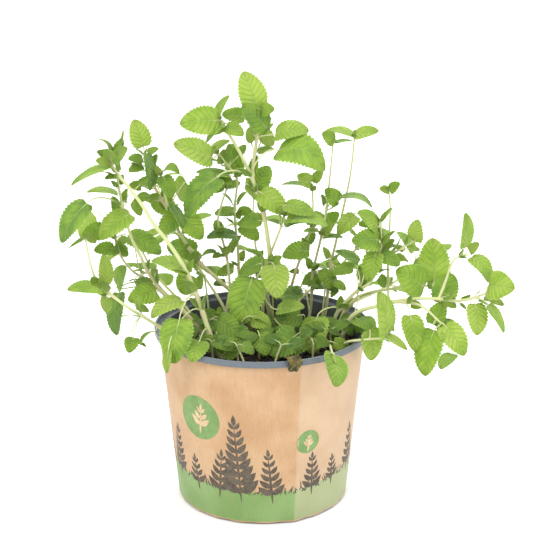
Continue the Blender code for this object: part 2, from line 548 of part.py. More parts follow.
def tube_girths(girth, path, foot):
    """A stem keeps its girth in its hole, and tapers towards its top."""
    straight = 2 if foot else 1
    spans = max(len(path) - straight, 1)
    top = max(TAPER * girth, THINNEST)
    return [girth + (top - girth) * max(0, i - straight + 1) / spans for i in range(len(path))]


def blade_frame(base, tip, facing, roll):
    """Directions along and across a blade and out of its upper face. A roll turns that face upward."""
    along = (tip - base).normalized()
    toward = (facing - along * facing.dot(along)).normalized()
    turn = facing.cross(along).normalized()
    if along.x < 0:
        turn.negate()
    upper = toward * math.cos(roll) + turn * math.sin(roll)
    return along, along.cross(upper), upper


def outline_width(u):
    """Half width of a blade over its greatest, from its base (0) to its tip (1)."""
    return math.sin(math.pi * u ** 0.68) ** 0.72


def blade_rows(base, tip, facing, roll, arch, teeth, ribbed):
    """Rows of points across a blade: crest and notch rows in turn, then the tip."""
    along, across, upper = blade_frame(base, tip, facing, roll)
    length = (tip - base).length
    widest = LEAF_WIDTH * length / 2
    rows = []
    last = 2 * teeth - 2
    for j in range(last + 1):
        u = 0.07 + 0.80 * j / last
        half = widest * outline_width(u) * (1 - NOTCH * (j % 2))
        centre = base + along * (length * u) + upper * (4 * arch * u * (1 - u) * length)
        ahead = (along + upper * (4 * arch * (1 - 2 * u))).normalized()
        out = across.cross(ahead)
        lobe = ahead * (HEART * length * (1 - u) ** 4)
        edge = out * (half * (FOLD - CUP)) - lobe
        row = [centre - across * half + edge, centre + across * half + edge]
        if ribbed:
            row.insert(1, centre)
        rows.append(row)
    rows.append([tip])
    return rows, across


def leaf_sheet(joint, base, tip, facing, roll, arch, grow):
    """Rows of a whole leaf: its stalk as a narrow ribbon from the joint, then its blade."""
    length = (tip - base).length
    teeth = 4 if length > 27 else 3 if length > 17 else 2
    rows, across = blade_rows(base, tip, facing, roll, arch, teeth, length > 21)
    reach = (base - joint).length
    along = (tip - base).normalized()
    bend_a = joint + grow * (0.35 * reach)
    bend_b = base - along * (0.35 * reach)
    steps = 2 if reach > 9 else 1
    stalk = [[joint]]
    for i in range(1, steps + 1):
        t = i / steps
        centre = (joint * (1 - t) ** 3 + bend_a * (3 * t * (1 - t) ** 2) + bend_b * (3 * t * t * (1 - t))
                  + base * t ** 3)
        stalk.append([centre - across * (STALK_WIDTH / 2), centre + across * (STALK_WIDTH / 2)])
    return stalk + rows


def add_sheet(bm, rows, thickness):
    """A closed leaf of even thickness from its rows, split into triangles alike on both faces."""
    start = len(bm.faces)
    points = [[bm.verts.new(p) for p in row] for row in rows]
    for low, high in zip(points, points[1:]):
        i = j = 0
        while i < len(low) - 1 or j < len(high) - 1:
            low_next = (i + 1) / max(len(low) - 1, 1) if i < len(low) - 1 else 2
            high_next = (j + 1) / max(len(high) - 1, 1) if j < len(high) - 1 else 2
            if low_next <= high_next:
                bm.faces.new((low[i], low[i + 1], high[j]))
                i += 1
            else:
                bm.faces.new((low[i], high[j + 1], high[j]))
                j += 1
    bm.faces.ensure_lookup_table()
    sheet = bm.faces[start:]
    bmesh.ops.recalc_face_normals(bm, faces=sheet)
    bm.normal_update()
    bmesh.ops.solidify(bm, geom=sheet, thickness=thickness)
    bmesh.ops.triangulate(bm, faces=bm.faces[:])
    bmesh.ops.recalc_face_normals(bm, faces=bm.faces[:])
    if bm.calc_volume(signed=True) < 0:
        bmesh.ops.reverse_faces(bm, faces=bm.faces[:])


def leaf_tree(rows, thickness):
    bm = bmesh.new()
    add_sheet(bm, rows, thickness)
    tree = BVHTree.FromBMesh(bm)
    bm.free()
    return tree


def object_tree(obj):
    bm = bmesh.new()
    bm.from_mesh(obj.data)
    bm.transform(Matrix.Scale(1 / MM, 4))
    tree = BVHTree.FromBMesh(bm)
    bm.free()
    return tree


def tube_tree(path, girths, extra):
    bm = bmesh.new()
    add_tube(bm, path, [girth + extra for girth in girths])
    tree = BVHTree.FromBMesh(bm)
    bm.free()
    return tree


def clear_leaf(node, leaf, taken):
    """The leaf, pushed along the line of sight to the first depth where it meets no other piece."""
    joint, base, tip, facing, roll, arch, grow = leaf
    for push in PUSHES:
        rows = leaf_sheet(joint, pushed(base, push), pushed(tip, push), facing, roll, arch, grow)
        tree = leaf_tree(rows, LEAF_THICKNESS + 2 * CLEARANCE)
        if not any(tree.overlap(other) for owner, other in taken if owner != node):
            taken.append((node, leaf_tree(rows, LEAF_THICKNESS)))
            return rows
    return None


def listed_leaf(path, offset, row, route):
    """One leaf of the list: where it joins, its blade's base and tip, and how it is turned."""
    place, base, tip, roll, arch = row
    joint = path[place + offset]
    depth = route[place][2] + base[2]
    start = sighted(base[0], base[1], depth)
    end = sighted(tip[0], tip[1], depth + tip[2])
    below = max(place + offset, 1)
    grow = (path[below] - path[below - 1]).normalized()
    return joint - grow * SUNK, start, end, EYE - start, math.radians(roll), arch / 100, grow


def paired_leaves(path, rng):
    """Opposite leaves at the joints of a rear shoot, smaller towards its top."""
    leaves = []
    joints = range(3, len(path))
    for k in joints:
        grow = (path[k] - path[k - 1]).normalized()
        sideways = grow.cross(Vector((0, 1, 0))).normalized()
        share = (k - joints[0]) / max(len(joints) - 1, 1)
        length = REAR_LEAF + (REAR_TOP_LEAF - REAR_LEAF) * share
        turn = k * math.pi / 2 + rng.uniform(-0.3, 0.3)
        for half_turn in (0, math.pi):
            out = Quaternion(grow, turn + half_turn) @ sideways
            stalk = REAR_STALK * rng.uniform(0.8, 1.2)
            base = path[k] + out * (0.8 * stalk) + grow * (0.6 * stalk)
            fall = Vector((0, 0, rng.uniform(-0.45, 0.1)))
            tip = base + (out + fall).normalized() * (length * rng.uniform(0.9, 1.1))
            facing = Vector((0, 0, 1)) + out * 0.2
            leaves.append((path[k] - grow * SUNK, base, tip, facing, rng.uniform(-0.2, 0.2), 0.12, grow))
    return leaves


def plant_plan():
    """Every shoot as (node, path, girths, leaves), the listed ones first."""
    plan = []
    for node, girth, foot, route, rows in SHOOTS:
        path = shoot_path(foot, route)
        offset = len(path) - len(route)
        leaves = [listed_leaf(path, offset, row, route) for row in rows]
        plan.append((node, path, tube_girths(girth, path, foot), leaves))
    rng = random.Random(REAR_SEED)
    for node, girth, foot, route in REAR_SHOOTS:
        path = shoot_path(foot, route)
        plan.append((node, path, tube_girths(girth, path, foot), paired_leaves(path, rng)))
    return plan


def keep_outer_skin(obj):
    """Keep the largest shell of a solid: sealed hollows fill and loose scraps go. Its faces run upward."""
    bm = bmesh.new()
    bm.from_mesh(obj.data)
    bmesh.ops.remove_doubles(bm, verts=bm.verts[:], dist=SHORTEST_EDGE * MM)
    bmesh.ops.triangulate(bm, faces=bm.faces[:])
    shells = []
    left = set(bm.verts)
    while left:
        shell = set()
        edge_of_shell = [left.pop()]
        while edge_of_shell:
            vert = edge_of_shell.pop()
            shell.add(vert)
            for edge in vert.link_edges:
                other = edge.other_vert(vert)
                if other in left:
                    left.remove(other)
                    edge_of_shell.append(other)
        shells.append(shell)
    shells.sort(key=len)
    for shell in shells[:-1]:
        bmesh.ops.delete(bm, geom=list(shell), context="VERTS")
    bm.faces.sort(key=lambda face: face.calc_center_median().z)
    bm.to_mesh(obj.data)
    bm.free()


def make_stems(obstacles):
    """Each stem with its side shoots and leaves, joined into one solid. Leaves bend clear of other stems."""
    plan = plant_plan()
    taken = list(obstacles)
    for node, path, girths, leaves in plan:
        taken.append((node, tube_tree(path, girths, CLEARANCE)))
    placed = {}
    for node, path, girths, leaves in plan:
        for leaf in leaves:
            if (leaf[2] - leaf[1]).length < SMALLEST_LEAF:
                continue
            rows = clear_leaf(node, leaf, taken)
            if rows:
                placed.setdefault(node, []).append(rows)
    material = finish("catnip_green", (0.16, 0.32, 0.04), 0.6)
    for node in placed:
        tubes = [(path, girths) for name, path, girths, leaves in plan if name == node]
        bm = bmesh.new()
        add_tube(bm, *tubes[0])
        stem = add_object(node, bm, material)
        parts = helper_collection(node + "_parts")
        for i, (path, girths) in enumerate(tubes[1:]):
            bm = bmesh.new()
            add_tube(bm, path, girths)
            add_object(f"{node}_shoot_{i}", bm, collection=parts)
        for i, rows in enumerate(placed[node]):
            bm = bmesh.new()
            add_sheet(bm, rows, LEAF_THICKNESS)
            add_object(f"{node}_leaf_{i}", bm, collection=parts)
        cut_or_join(stem, parts, "UNION", "MANIFOLD")
        keep_outer_skin(stem)


def make_withered_leaf():
    """A dead leaf fallen over the rim at the front, folded across it."""
    outward = Vector((math.cos(WITHERED_ANGLE), math.sin(WITHERED_ANGLE), 0))
    across = Vector((-outward.y, outward.x, 0))
    rows = []
    for i, (out, up, width) in enumerate(WITHERED_ROUTE):
        sway = across * (WITHERED_SWAY * math.sin(i * 2.1))
        centre = outward * (RIM_RADIUS + out) + Vector((0, 0, POT_HEIGHT + up)) + sway
        rows.append([centre - across * width / 2, centre + across * width / 2])
    bm = bmesh.new()
    add_sheet(bm, rows, LEAF_THICKNESS)
    add_object("withered_leaf", bm, finish("dead_leaf_brown", (0.10, 0.08, 0.04), 0.9))


clear_scene()
make_pot()
make_sleeve()
make_withered_leaf()
make_compost([(girth, foot) for node, girth, foot, *rest in SHOOTS + REAR_SHOOTS if foot])
RIGID = ("pot", "paper_sleeve", "compost", "withered_leaf")
make_stems([(name, object_tree(bpy.data.objects[name])) for name in RIGID])
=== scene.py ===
"""The looks of a potted catnip: plastic pot, printed kraft sleeve, compost and 25 leafy stems."""
import math
import random
from types import SimpleNamespace

import bmesh
import bpy
from mathutils import Matrix, Quaternion, Vector, noise


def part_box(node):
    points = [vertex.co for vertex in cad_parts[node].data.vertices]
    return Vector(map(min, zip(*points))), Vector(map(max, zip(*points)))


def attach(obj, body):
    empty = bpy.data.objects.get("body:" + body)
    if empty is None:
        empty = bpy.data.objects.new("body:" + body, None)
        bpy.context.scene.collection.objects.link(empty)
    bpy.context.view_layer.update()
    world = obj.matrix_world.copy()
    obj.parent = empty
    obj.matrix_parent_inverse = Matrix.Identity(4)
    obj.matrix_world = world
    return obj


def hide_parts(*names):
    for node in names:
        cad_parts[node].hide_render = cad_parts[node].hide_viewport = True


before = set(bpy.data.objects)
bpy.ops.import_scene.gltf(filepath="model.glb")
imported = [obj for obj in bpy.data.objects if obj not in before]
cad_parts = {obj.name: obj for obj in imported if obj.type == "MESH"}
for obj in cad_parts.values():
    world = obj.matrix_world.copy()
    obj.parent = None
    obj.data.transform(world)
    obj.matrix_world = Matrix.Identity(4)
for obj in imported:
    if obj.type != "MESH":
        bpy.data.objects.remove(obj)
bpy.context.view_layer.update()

# Pot: one injection moulding in dark blue-grey polypropylene, 1.2 mm thick, with a tapered wall, a floor with
# a ring of drain holes, and a collar that steps out so that empty pots can be pulled apart.
MM = 0.001
POT_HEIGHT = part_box("pot")[1][2] / MM
COLLAR_HEIGHT = 3.8
LEDGE = POT_HEIGHT - COLLAR_HEIGHT
RIM_RADIUS = 65.0
NECK_RADIUS = 60.8
BASE_RADIUS = 50.4
WALL = 1.2
FLOOR = 2.0
FOOT_RING = 4.5
FLOOR_RECESS = 0.6
HEEL = 1.5
POT_SIDES = 144
CORNER = 0.35
CORNER_ANGLE = math.radians(50)
DRAIN_HOLES = 8
DRAIN_RADIUS = 4.0
DRAIN_CIRCLE = 34.0
INSIDE_SHADE_TOP = 106.0
INSIDE_SHADE_FULL = 98.0
INSIDE_SHADE_RAGGED = 6.0
PLASTIC = (0.045, 0.056, 0.070)
PLASTIC_LIT_COLLAR = (0.098, 0.118, 0.140)
PLASTIC_SHADED_INSIDE = (0.030, 0.034, 0.038)
PLASTIC_SCUFF = (0.14, 0.16, 0.18)
DUST = (0.30, 0.28, 0.24)


def add_node(tree, kind, sockets=None, **settings):
    """A shader node. Each socket takes a link, a value, or a colour given without its alpha."""
    made = tree.nodes.new("ShaderNode" + kind)
    for key, value in settings.items():
        setattr(made, key, value)
    for key, value in (sockets or {}).items():
        socket = made.inputs[key]
        if isinstance(value, bpy.types.NodeSocket):
            tree.links.new(value, socket)
        else:
            socket.default_value = (*value, 1.0) if socket.type == "RGBA" else value
    return made


def maths(tree, operation, *values):
    return add_node(tree, "Math", dict(enumerate(values)), operation=operation).outputs[0]


def ramp_up(tree, value, low, high):
    """0 below low and 1 above high, with a smooth rise between them, or a fall where high is the lower."""
    ends = {"Value": value, "From Min": min(low, high), "From Max": max(low, high)}
    if high < low:
        ends["To Min"] = 1.0
        ends["To Max"] = 0.0
    return add_node(tree, "MapRange", ends, interpolation_type="SMOOTHSTEP").outputs[0]


def tint(tree, mask, first, second, share=1.0):
    """The first colour, turned into the second where the mask is 1, or only that share of the way."""
    if share < 1.0:
        mask = maths(tree, "MULTIPLY", mask, share)
    return add_node(tree, "Mix", {0: mask, 6: first, 7: second}, data_type="RGBA").outputs[2]


def mottle_group():
    """Blotches, fine grain and specks at three scales, for every surface that isn't one even colour."""
    group = bpy.data.node_groups.new("mottle", "ShaderNodeTree")
    group.interface.new_socket("Place", in_out="INPUT", socket_type="NodeSocketVector")
    for name in ("Blotch", "Grain", "Speck"):
        group.interface.new_socket(name + " Scale", in_out="INPUT", socket_type="NodeSocketFloat")
        group.interface.new_socket(name, in_out="OUTPUT", socket_type="NodeSocketFloat")
    given = group.nodes.new("NodeGroupInput").outputs
    result = group.nodes.new("NodeGroupOutput").inputs
    for name, detail in (("Blotch", 5.0), ("Grain", 3.0)):
        cloud = add_node(group, "TexNoise", {"Vector": given["Place"], "Scale": given[name + " Scale"],
                                             "Detail": detail})
        group.links.new(ramp_up(group, cloud.outputs[0], 0.32, 0.68), result[name])
    cells = add_node(group, "TexVoronoi", {"Vector": given["Place"], "Scale": given["Speck Scale"]})
    draw = add_node(group, "SeparateXYZ", {0: cells.outputs["Color"]}).outputs[0]
    picked = ramp_up(group, draw, 0.86, 0.90)
    near = ramp_up(group, cells.outputs["Distance"], 0.34, 0.18)
    group.links.new(maths(group, "MULTIPLY", picked, near), result["Speck"])
    return group


MOTTLE = mottle_group()


def start_finish(name, blotch, grain, speck, **values):
    """A material under way, with the place on the piece in metres and its mottle at three scales."""
    material = bpy.data.materials.new(name)
    material.use_nodes = True
    tree = material.node_tree
    shader = tree.nodes["Principled BSDF"]
    for key, value in values.items():
        shader.inputs[key.replace("_", " ")].default_value = value
    place = add_node(tree, "TexCoord").outputs["Object"]
    x, y, z = add_node(tree, "SeparateXYZ", {0: place}).outputs
    scales = {"Place": place, "Blotch Scale": blotch, "Grain Scale": grain, "Speck Scale": speck}
    masks = add_node(tree, "Group", scales, node_tree=MOTTLE).outputs
    return SimpleNamespace(material=material, tree=tree, shader=shader, place=place, x=x, y=y, z=z,
                           blotch=masks["Blotch"], grain=masks["Grain"], speck=masks["Speck"])


def end_finish(finish, colour, mask, low, span, relief, depth):
    """Give a material its colour, relief in millimetres, and a roughness that the mask lifts by the span."""
    tree, sockets = finish.tree, finish.shader.inputs
    tree.links.new(colour, sockets["Base Color"])
    if span:
        tree.links.new(maths(tree, "MULTIPLY_ADD", mask, span, low), sockets["Roughness"])
    else:
        sockets["Roughness"].default_value = low
    bump = add_node(tree, "Bump", {"Height": relief, "Distance": depth * MM, "Strength": 1.0})
    tree.links.new(bump.outputs[0], sockets["Normal"])
    return finish.material


def round_axis(radius, angle, z=0.0):
    """The point at that radius, angle and height round the pot's axis."""
    return Vector((radius * math.cos(angle), radius * math.sin(angle), z))


def wall_radius(z):
    """The outer radius of the pot's tapered wall."""
    return BASE_RADIUS + (NECK_RADIUS - BASE_RADIUS) * z / LEDGE


def turned(profile, sides):
    """A closed solid from an outline of (radius, height) points turned about Z, with its faces outwards."""
    bm = bmesh.new()
    corners = [bm.verts.new((r, 0, z)) for r, z in profile]
    edges = [bm.edges.new(pair) for pair in zip(corners, corners[1:] + corners[:1])]
    bmesh.ops.spin(bm, geom=corners + edges, cent=(0, 0, 0), axis=(0, 0, 1), angle=math.tau, steps=sides,
                   use_merge=True)
    bmesh.ops.remove_doubles(bm, verts=bm.verts[:], dist=0.005)
    bmesh.ops.recalc_face_normals(bm, faces=bm.faces[:])
    return bm


def dress(name, bm, materials, nodes=(), sharp=40):
    """Finish a piece modelled in millimetres: its object, materials, shading, body and material slot."""
    bm.transform(Matrix.Scale(MM, 4))
    mesh = bpy.data.meshes.new(name)
    bm.to_mesh(mesh)
    bm.free()
    for material in materials:
        mesh.materials.append(material)
    mesh.shade_smooth()
    mesh.set_sharp_from_angle(angle=math.radians(sharp))
    piece = bpy.data.objects.new(name, mesh)
    bpy.context.scene.collection.objects.link(piece)
    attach(piece, "root")
    if nodes:
        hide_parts(*nodes)
    return piece


pot_outline = [
    (0, FLOOR_RECESS), (BASE_RADIUS - FOOT_RING, FLOOR_RECESS), (BASE_RADIUS - FOOT_RING + FLOOR_RECESS, 0),
    (BASE_RADIUS - HEEL, 0), (wall_radius(HEEL), HEEL), (wall_radius(LEDGE / 2), LEDGE / 2),
    (NECK_RADIUS, LEDGE), (RIM_RADIUS, LEDGE), (RIM_RADIUS, POT_HEIGHT), (RIM_RADIUS - WALL, POT_HEIGHT),
    (RIM_RADIUS - WALL, LEDGE + WALL), (NECK_RADIUS - WALL, LEDGE + WALL), (wall_radius(FLOOR) - WALL, FLOOR),
    (0, FLOOR),
]
pot_mesh = turned(pot_outline, POT_SIDES)
corner_rings = [edge for edge in pot_mesh.edges
                if edge.verts[0].co.z > LEDGE - 1 and edge.calc_face_angle(0.0) > CORNER_ANGLE]
bmesh.ops.bevel(pot_mesh, geom=corner_rings, offset=CORNER, segments=3, profile=0.5, affect="EDGES",
                material=-1)
finish = start_finish("blue_grey_plastic", 45.0, 900.0, 700.0, Specular_IOR_Level=0.5)
tree = finish.tree
flattened = add_node(tree, "VectorMath", {0: finish.place, 1: (1.0, 1.0, 0.0)}, operation="MULTIPLY")
reach = add_node(tree, "VectorMath", {0: flattened.outputs[0]}, operation="LENGTH").outputs["Value"]
on_collar = ramp_up(tree, finish.z, (LEDGE - 0.5) * MM, (LEDGE + 0.5) * MM)
outside = ramp_up(tree, reach, (RIM_RADIUS - 2 * WALL) * MM, (RIM_RADIUS - WALL) * MM)
inside = ramp_up(tree, reach, (NECK_RADIUS - 0.4) * MM, (NECK_RADIUS - 0.8) * MM)
# Painted shade inside the pot: the inner wall darkens from just under the rim down to the compost, with a
# ragged edge.
inside_shade_line = maths(tree, "MULTIPLY_ADD", finish.blotch, INSIDE_SHADE_RAGGED * MM, finish.z)
painted_inside_shade = maths(tree, "MULTIPLY", ramp_up(tree, inside_shade_line, INSIDE_SHADE_TOP * MM, INSIDE_SHADE_FULL * MM), inside)
# Painted light: the collar's top and outer face are lighter where the light falls on the rim.
colour = tint(tree, maths(tree, "MULTIPLY", on_collar, outside), PLASTIC, PLASTIC_LIT_COLLAR)
colour = tint(tree, painted_inside_shade, colour, PLASTIC_SHADED_INSIDE)
colour = tint(tree, finish.grain, colour, PLASTIC_SCUFF, 0.25)
colour = tint(tree, finish.speck, colour, DUST, 0.35)
relief = maths(tree, "MULTIPLY_ADD", finish.blotch, 0.5, finish.grain)
plastic = end_finish(finish, colour, finish.blotch, 0.30, 0.16, relief, 0.03)
pot = dress("nursery_pot", pot_mesh, [plastic], ["pot"])
punch_mesh = bmesh.new()
for i in range(DRAIN_HOLES):
    at = round_axis(DRAIN_CIRCLE, math.tau * (i + 0.5) / DRAIN_HOLES, FLOOR / 2)
    bmesh.ops.create_cone(punch_mesh, cap_ends=True, segments=24, radius1=DRAIN_RADIUS, radius2=DRAIN_RADIUS,
                          depth=FLOOR * 3, matrix=Matrix.Translation(at))
punch_mesh.transform(Matrix.Scale(MM, 4))
punch = bpy.data.objects.new("drain_punch", bpy.data.meshes.new("drain_punch"))
punch_mesh.to_mesh(punch.data)
punch_mesh.free()
bpy.context.scene.collection.objects.link(punch)
cut = pot.modifiers.new("drain holes", "BOOLEAN")
cut.operation = "DIFFERENCE"
cut.object = punch
bpy.context.view_layer.update()
pot.data = bpy.data.meshes.new_from_object(pot.evaluated_get(bpy.context.evaluated_depsgraph_get()))
pot.modifiers.clear()
bpy.data.objects.remove(punch, do_unlink=True)

# Paper sleeve: a band of 0.8 mm kraft board, shipped flat, so two folds stand out on opposite sides. It is
# glued to itself at the back, tucked under the collar, and its bottom edge is cut in shallow scallops.
PAPER = 0.8
SLEEVE_GAP = 0.5
SLEEVE_BOTTOM = 0.8
SLEEVE_TOP = LEDGE - 0.5
SLEEVE_ROWS = 30
SLEEVE_SIDES = 320
FOLD_ANGLE = math.radians(-69)
FOLD_RIDGE = 1.3
FOLD_SPREAD = math.radians(6.5)
SCALLOP_DEPTH = 0.5
SCALLOPS = 20
LAP_ANGLE = math.radians(97)
LAP_WIDTH = math.radians(12)
LAP_STEP = 0.5
BUCKLE = 0.18
BAND_HEIGHT = 24.0
BAND_SWAY = 2.0
BAND_FEATHER = 1.0
KRAFT = (0.42, 0.25, 0.128)
KRAFT_PALE = (0.50, 0.33, 0.19)
KRAFT_DEEP = (0.33, 0.165, 0.062)
KRAFT_SPECK = (0.30, 0.15, 0.07)
KRAFT_LIT_PANEL = (0.62, 0.50, 0.38)
KRAFT_CREASE_HIGHLIGHT = (0.62, 0.48, 0.34)
BOARD = (0.36, 0.215, 0.12)
BOARD_DARK = (0.27, 0.15, 0.08)
BAND_GREEN = (0.155, 0.265, 0.078)
BAND_PALE = (0.20, 0.32, 0.115)


def sleeve_radius(angle, z):
    """The outer radius of the sleeve: the taper, a ridge at each fold, the lap and a slight buckle."""
    off_fold = abs((angle - FOLD_ANGLE + math.pi / 2) % math.pi - math.pi / 2)
    ridge = FOLD_RIDGE * math.exp(-off_fold / FOLD_SPREAD)
    past_lap = (angle - LAP_ANGLE) % math.tau
    lap = LAP_STEP * min(1, past_lap / 0.01) * max(0, 1 - past_lap / LAP_WIDTH) ** 0.4
    buckle = BUCKLE * noise.noise(Vector((math.cos(angle) * 2.2, math.sin(angle) * 2.2, z * 0.025)))
    return wall_radius(z) + SLEEVE_GAP + PAPER + ridge + lap + buckle


def fine_fibres(tree, place, scale, drawn_out):
    """Fine noise drawn out along Z."""
    drawn = add_node(tree, "Mapping", {"Vector": place, "Scale": (1.0, 1.0, drawn_out)}).outputs[0]
    return add_node(tree, "TexNoise", {"Vector": drawn, "Scale": scale, "Detail": 2.0}).outputs[0]


board_low = wall_radius(SLEEVE_BOTTOM) + SLEEVE_GAP
board_high = wall_radius(SLEEVE_TOP) + SLEEVE_GAP
sleeve_outline = [(board_high, SLEEVE_TOP), (board_low, SLEEVE_BOTTOM)]
for i in range(SLEEVE_ROWS + 1):
    up = i / SLEEVE_ROWS
    sleeve_outline.append((board_low + PAPER + (board_high - board_low) * up,
                           SLEEVE_BOTTOM + (SLEEVE_TOP - SLEEVE_BOTTOM) * up))
sleeve_mesh = turned(sleeve_outline, SLEEVE_SIDES)
for vert in sleeve_mesh.verts:
    angle = math.atan2(vert.co.y, vert.co.x)
    inner = vert.co.to_2d().length < wall_radius(vert.co.z) + SLEEVE_GAP + PAPER / 2
    vert.co = round_axis(sleeve_radius(angle, vert.co.z) - PAPER * inner, angle, vert.co.z)
    if vert.co.z < SLEEVE_BOTTOM + 0.1:
        vert.co.z += SCALLOP_DEPTH * (0.5 - 0.5 * math.cos(SCALLOPS * (angle - FOLD_ANGLE)))
for face in sleeve_mesh.faces:
    outwards = face.calc_center_median().to_2d().normalized().to_3d()
    face.material_index = 0 if face.normal.dot(outwards) > 0.5 else 1
finish = start_finish("printed_kraft", 38.0, 800.0, 520.0, Specular_IOR_Level=0.32, Sheen_Weight=0.12)
tree, place, z, grain = finish.tree, finish.place, finish.z, finish.grain
fibre = ramp_up(tree, fine_fibres(tree, place, 900.0, 0.14), 0.45, 0.75)
cloud = add_node(tree, "TexNoise", {"Vector": place, "Scale": 17.0, "Detail": 6.0})
colour = tint(tree, finish.blotch, KRAFT, KRAFT_PALE)
colour = tint(tree, ramp_up(tree, cloud.outputs[0], 0.50, 0.78), colour, KRAFT_DEEP, 0.42)
colour = tint(tree, fibre, colour, KRAFT_DEEP, 0.20)
colour = tint(tree, finish.speck, colour, KRAFT_SPECK, 0.35)
around = maths(tree, "ARCTAN2", finish.y, finish.x)
sway = maths(tree, "COSINE", maths(tree, "MULTIPLY", around, 2.0))
band_edge = maths(tree, "MULTIPLY_ADD", sway, BAND_SWAY * MM, BAND_HEIGHT * MM)
ragged = maths(tree, "MULTIPLY_ADD", maths(tree, "SUBTRACT", grain, 0.5), BAND_FEATHER * MM, z)
ink = maths(tree, "MULTIPLY", ramp_up(tree, maths(tree, "SUBTRACT", ragged, band_edge), 0.3 * MM, -0.3 * MM),
            ramp_up(tree, z, 2 * SLEEVE_BOTTOM * MM, 2.5 * SLEEVE_BOTTOM * MM))
worn = maths(tree, "MULTIPLY_ADD", maths(tree, "MULTIPLY", fibre, grain), -0.35, 1.0)
band_colour = tint(tree, finish.blotch, BAND_GREEN, BAND_PALE)
colour = tint(tree, maths(tree, "MULTIPLY", ink, worn), colour, band_colour)
# Painted light: the flat panel just past the fold, which faces the light, is paler.
past_fold = maths(tree, "SUBTRACT", around, FOLD_ANGLE)
lit_panel = maths(tree, "MULTIPLY", ramp_up(tree, past_fold, -0.005, 0.02), ramp_up(tree, past_fold, 1.9, 0.9))
colour = tint(tree, lit_panel, colour, KRAFT_LIT_PANEL, 0.30)
# A thin painted highlight along the fold.
crease_highlight = ramp_up(tree, maths(tree, "ABSOLUTE", past_fold), 0.008, 0.002)
colour = tint(tree, crease_highlight, colour, KRAFT_CREASE_HIGHLIGHT, 0.20)
relief = maths(tree, "MULTIPLY_ADD", grain, 0.6, fibre)
printed_kraft = end_finish(finish, colour, grain, 0.62, 0.12, relief, 0.05)
finish = start_finish("raw_board", 120.0, 1500.0, 900.0, Specular_IOR_Level=0.25)
colour = tint(finish.tree, finish.grain, BOARD, BOARD_DARK)
raw_board = end_finish(finish, colour, finish.blotch, 0.82, 0.10, finish.grain, 0.08)
dress("kraft_sleeve", sleeve_mesh, [printed_kraft, raw_board], ["paper_sleeve"])

# Print on the sleeve: a generic herb design in charcoal and green ink, about 0.04 mm thick. Sprigs and grass
# stand on the green band, and green discs above them each carry a pale sprig. It lies flat on the board.
INK = 0.045
CHARCOAL = (0.030, 0.030, 0.027)
CHARCOAL_WORN = (0.075, 0.067, 0.052)
DISC_GREEN = (0.105, 0.235, 0.065)
DISC_WORN = (0.15, 0.29, 0.095)
SPRIG_PALE = (0.60, 0.47, 0.31)
# Each sprig: degrees round the sleeve, foot, height, pairs of leaves and longest leaf.
SPRIGS = [(-103, 16, 50, 9, 13.0), (-118, 17, 27, 5, 10.0), (-83, 15.5, 31, 6, 9.5), (-134, 18, 19, 4, 8.0),
          (-57, 18, 24, 5, 8.5), (-40, 20, 17, 4, 7.0), (-155, 21, 30, 6, 9.5), (-20, 22, 28, 5, 9.5),
          (10, 22, 22, 4, 8.5), (40, 20, 32, 6, 10.0), (62, 19, 20, 4, 8.0), (140, 20, 34, 6, 10.0),
          (165, 21, 22, 5, 8.0), (185, 22, 38, 7, 10.5)]
# Each disc: degrees round the sleeve, height of its middle, and radius.
DISCS = [(-129, 66, 14.0), (-62, 53, 7.5), (28, 64, 13.0), (155, 70, 9.0)]
GRASS_BLADES = 230
TALL_GRASS_MIDDLE = -85
TALL_GRASS_REACH = 50


def print_patch(bm, start, columns, rows, shape, lift=INK):
    """A patch of ink: shape(s, t) puts it (across, up) from the angle start, with s -1 to 1 and t 0 to 1."""
    patch = bmesh.ops.create_grid(bm, x_segments=columns, y_segments=rows, size=1.0)["verts"]
    for vert in patch:
        across, z = shape(vert.co.x, vert.co.y / 2 + 0.5)
        angle = start + across / wall_radius(z)
        vert.co = round_axis(sleeve_radius(angle, z) + lift, angle, z)
    bmesh.ops.remove_doubles(bm, verts=patch, dist=0.002)


def print_leaf(bm, start, root, turn, length, width, bend=0.0, lift=INK):
    """A printed leaf from its root, with its tip turned from upright by `turn`."""
    def shape(s, t):
        along = t * length
        half = width / 2 * math.sin(math.pi * t ** 0.75) ** 0.8
        off = s * half + bend * length * t * (1 - t)
        return (root[0] + along * math.sin(turn) + off * math.cos(turn),
                root[1] + along * math.cos(turn) - off * math.sin(turn))
    print_patch(bm, start, 4, max(6, int(length / 1.6)), shape, lift)


def print_disc(bm, start, height, radius):
    """A printed disc, wide open at its middle row."""
    def shape(s, t):
        return s * radius * math.sin(math.pi * t), height - math.cos(math.pi * t) * radius
    print_patch(bm, start, 10, 24, shape)


def print_sprig(bm, start, foot, height, pairs, leaf, lean, lift=INK):
    """A printed sprig: a stalk with pairs of leaves that get smaller towards its top."""
    print_leaf(bm, start, (0, foot - 2), lean, height + 2, 1.5, 0.0, lift)
    for k in range(pairs):
        share = (k + 1) / (pairs + 0.6)
        root = (height * share * math.sin(lean), foot + height * share)
        size = leaf * (1.15 - 0.75 * share)
        for side in (-1, 1):
            turn = lean + side * (0.95 - 0.35 * share)
            print_leaf(bm, start, root, turn, size, size * 0.42, side * 0.25, lift)
    top = (height * math.sin(lean), foot + height - 1)
    print_leaf(bm, start, top, lean, leaf * 0.55, leaf * 0.22, 0.0, lift)


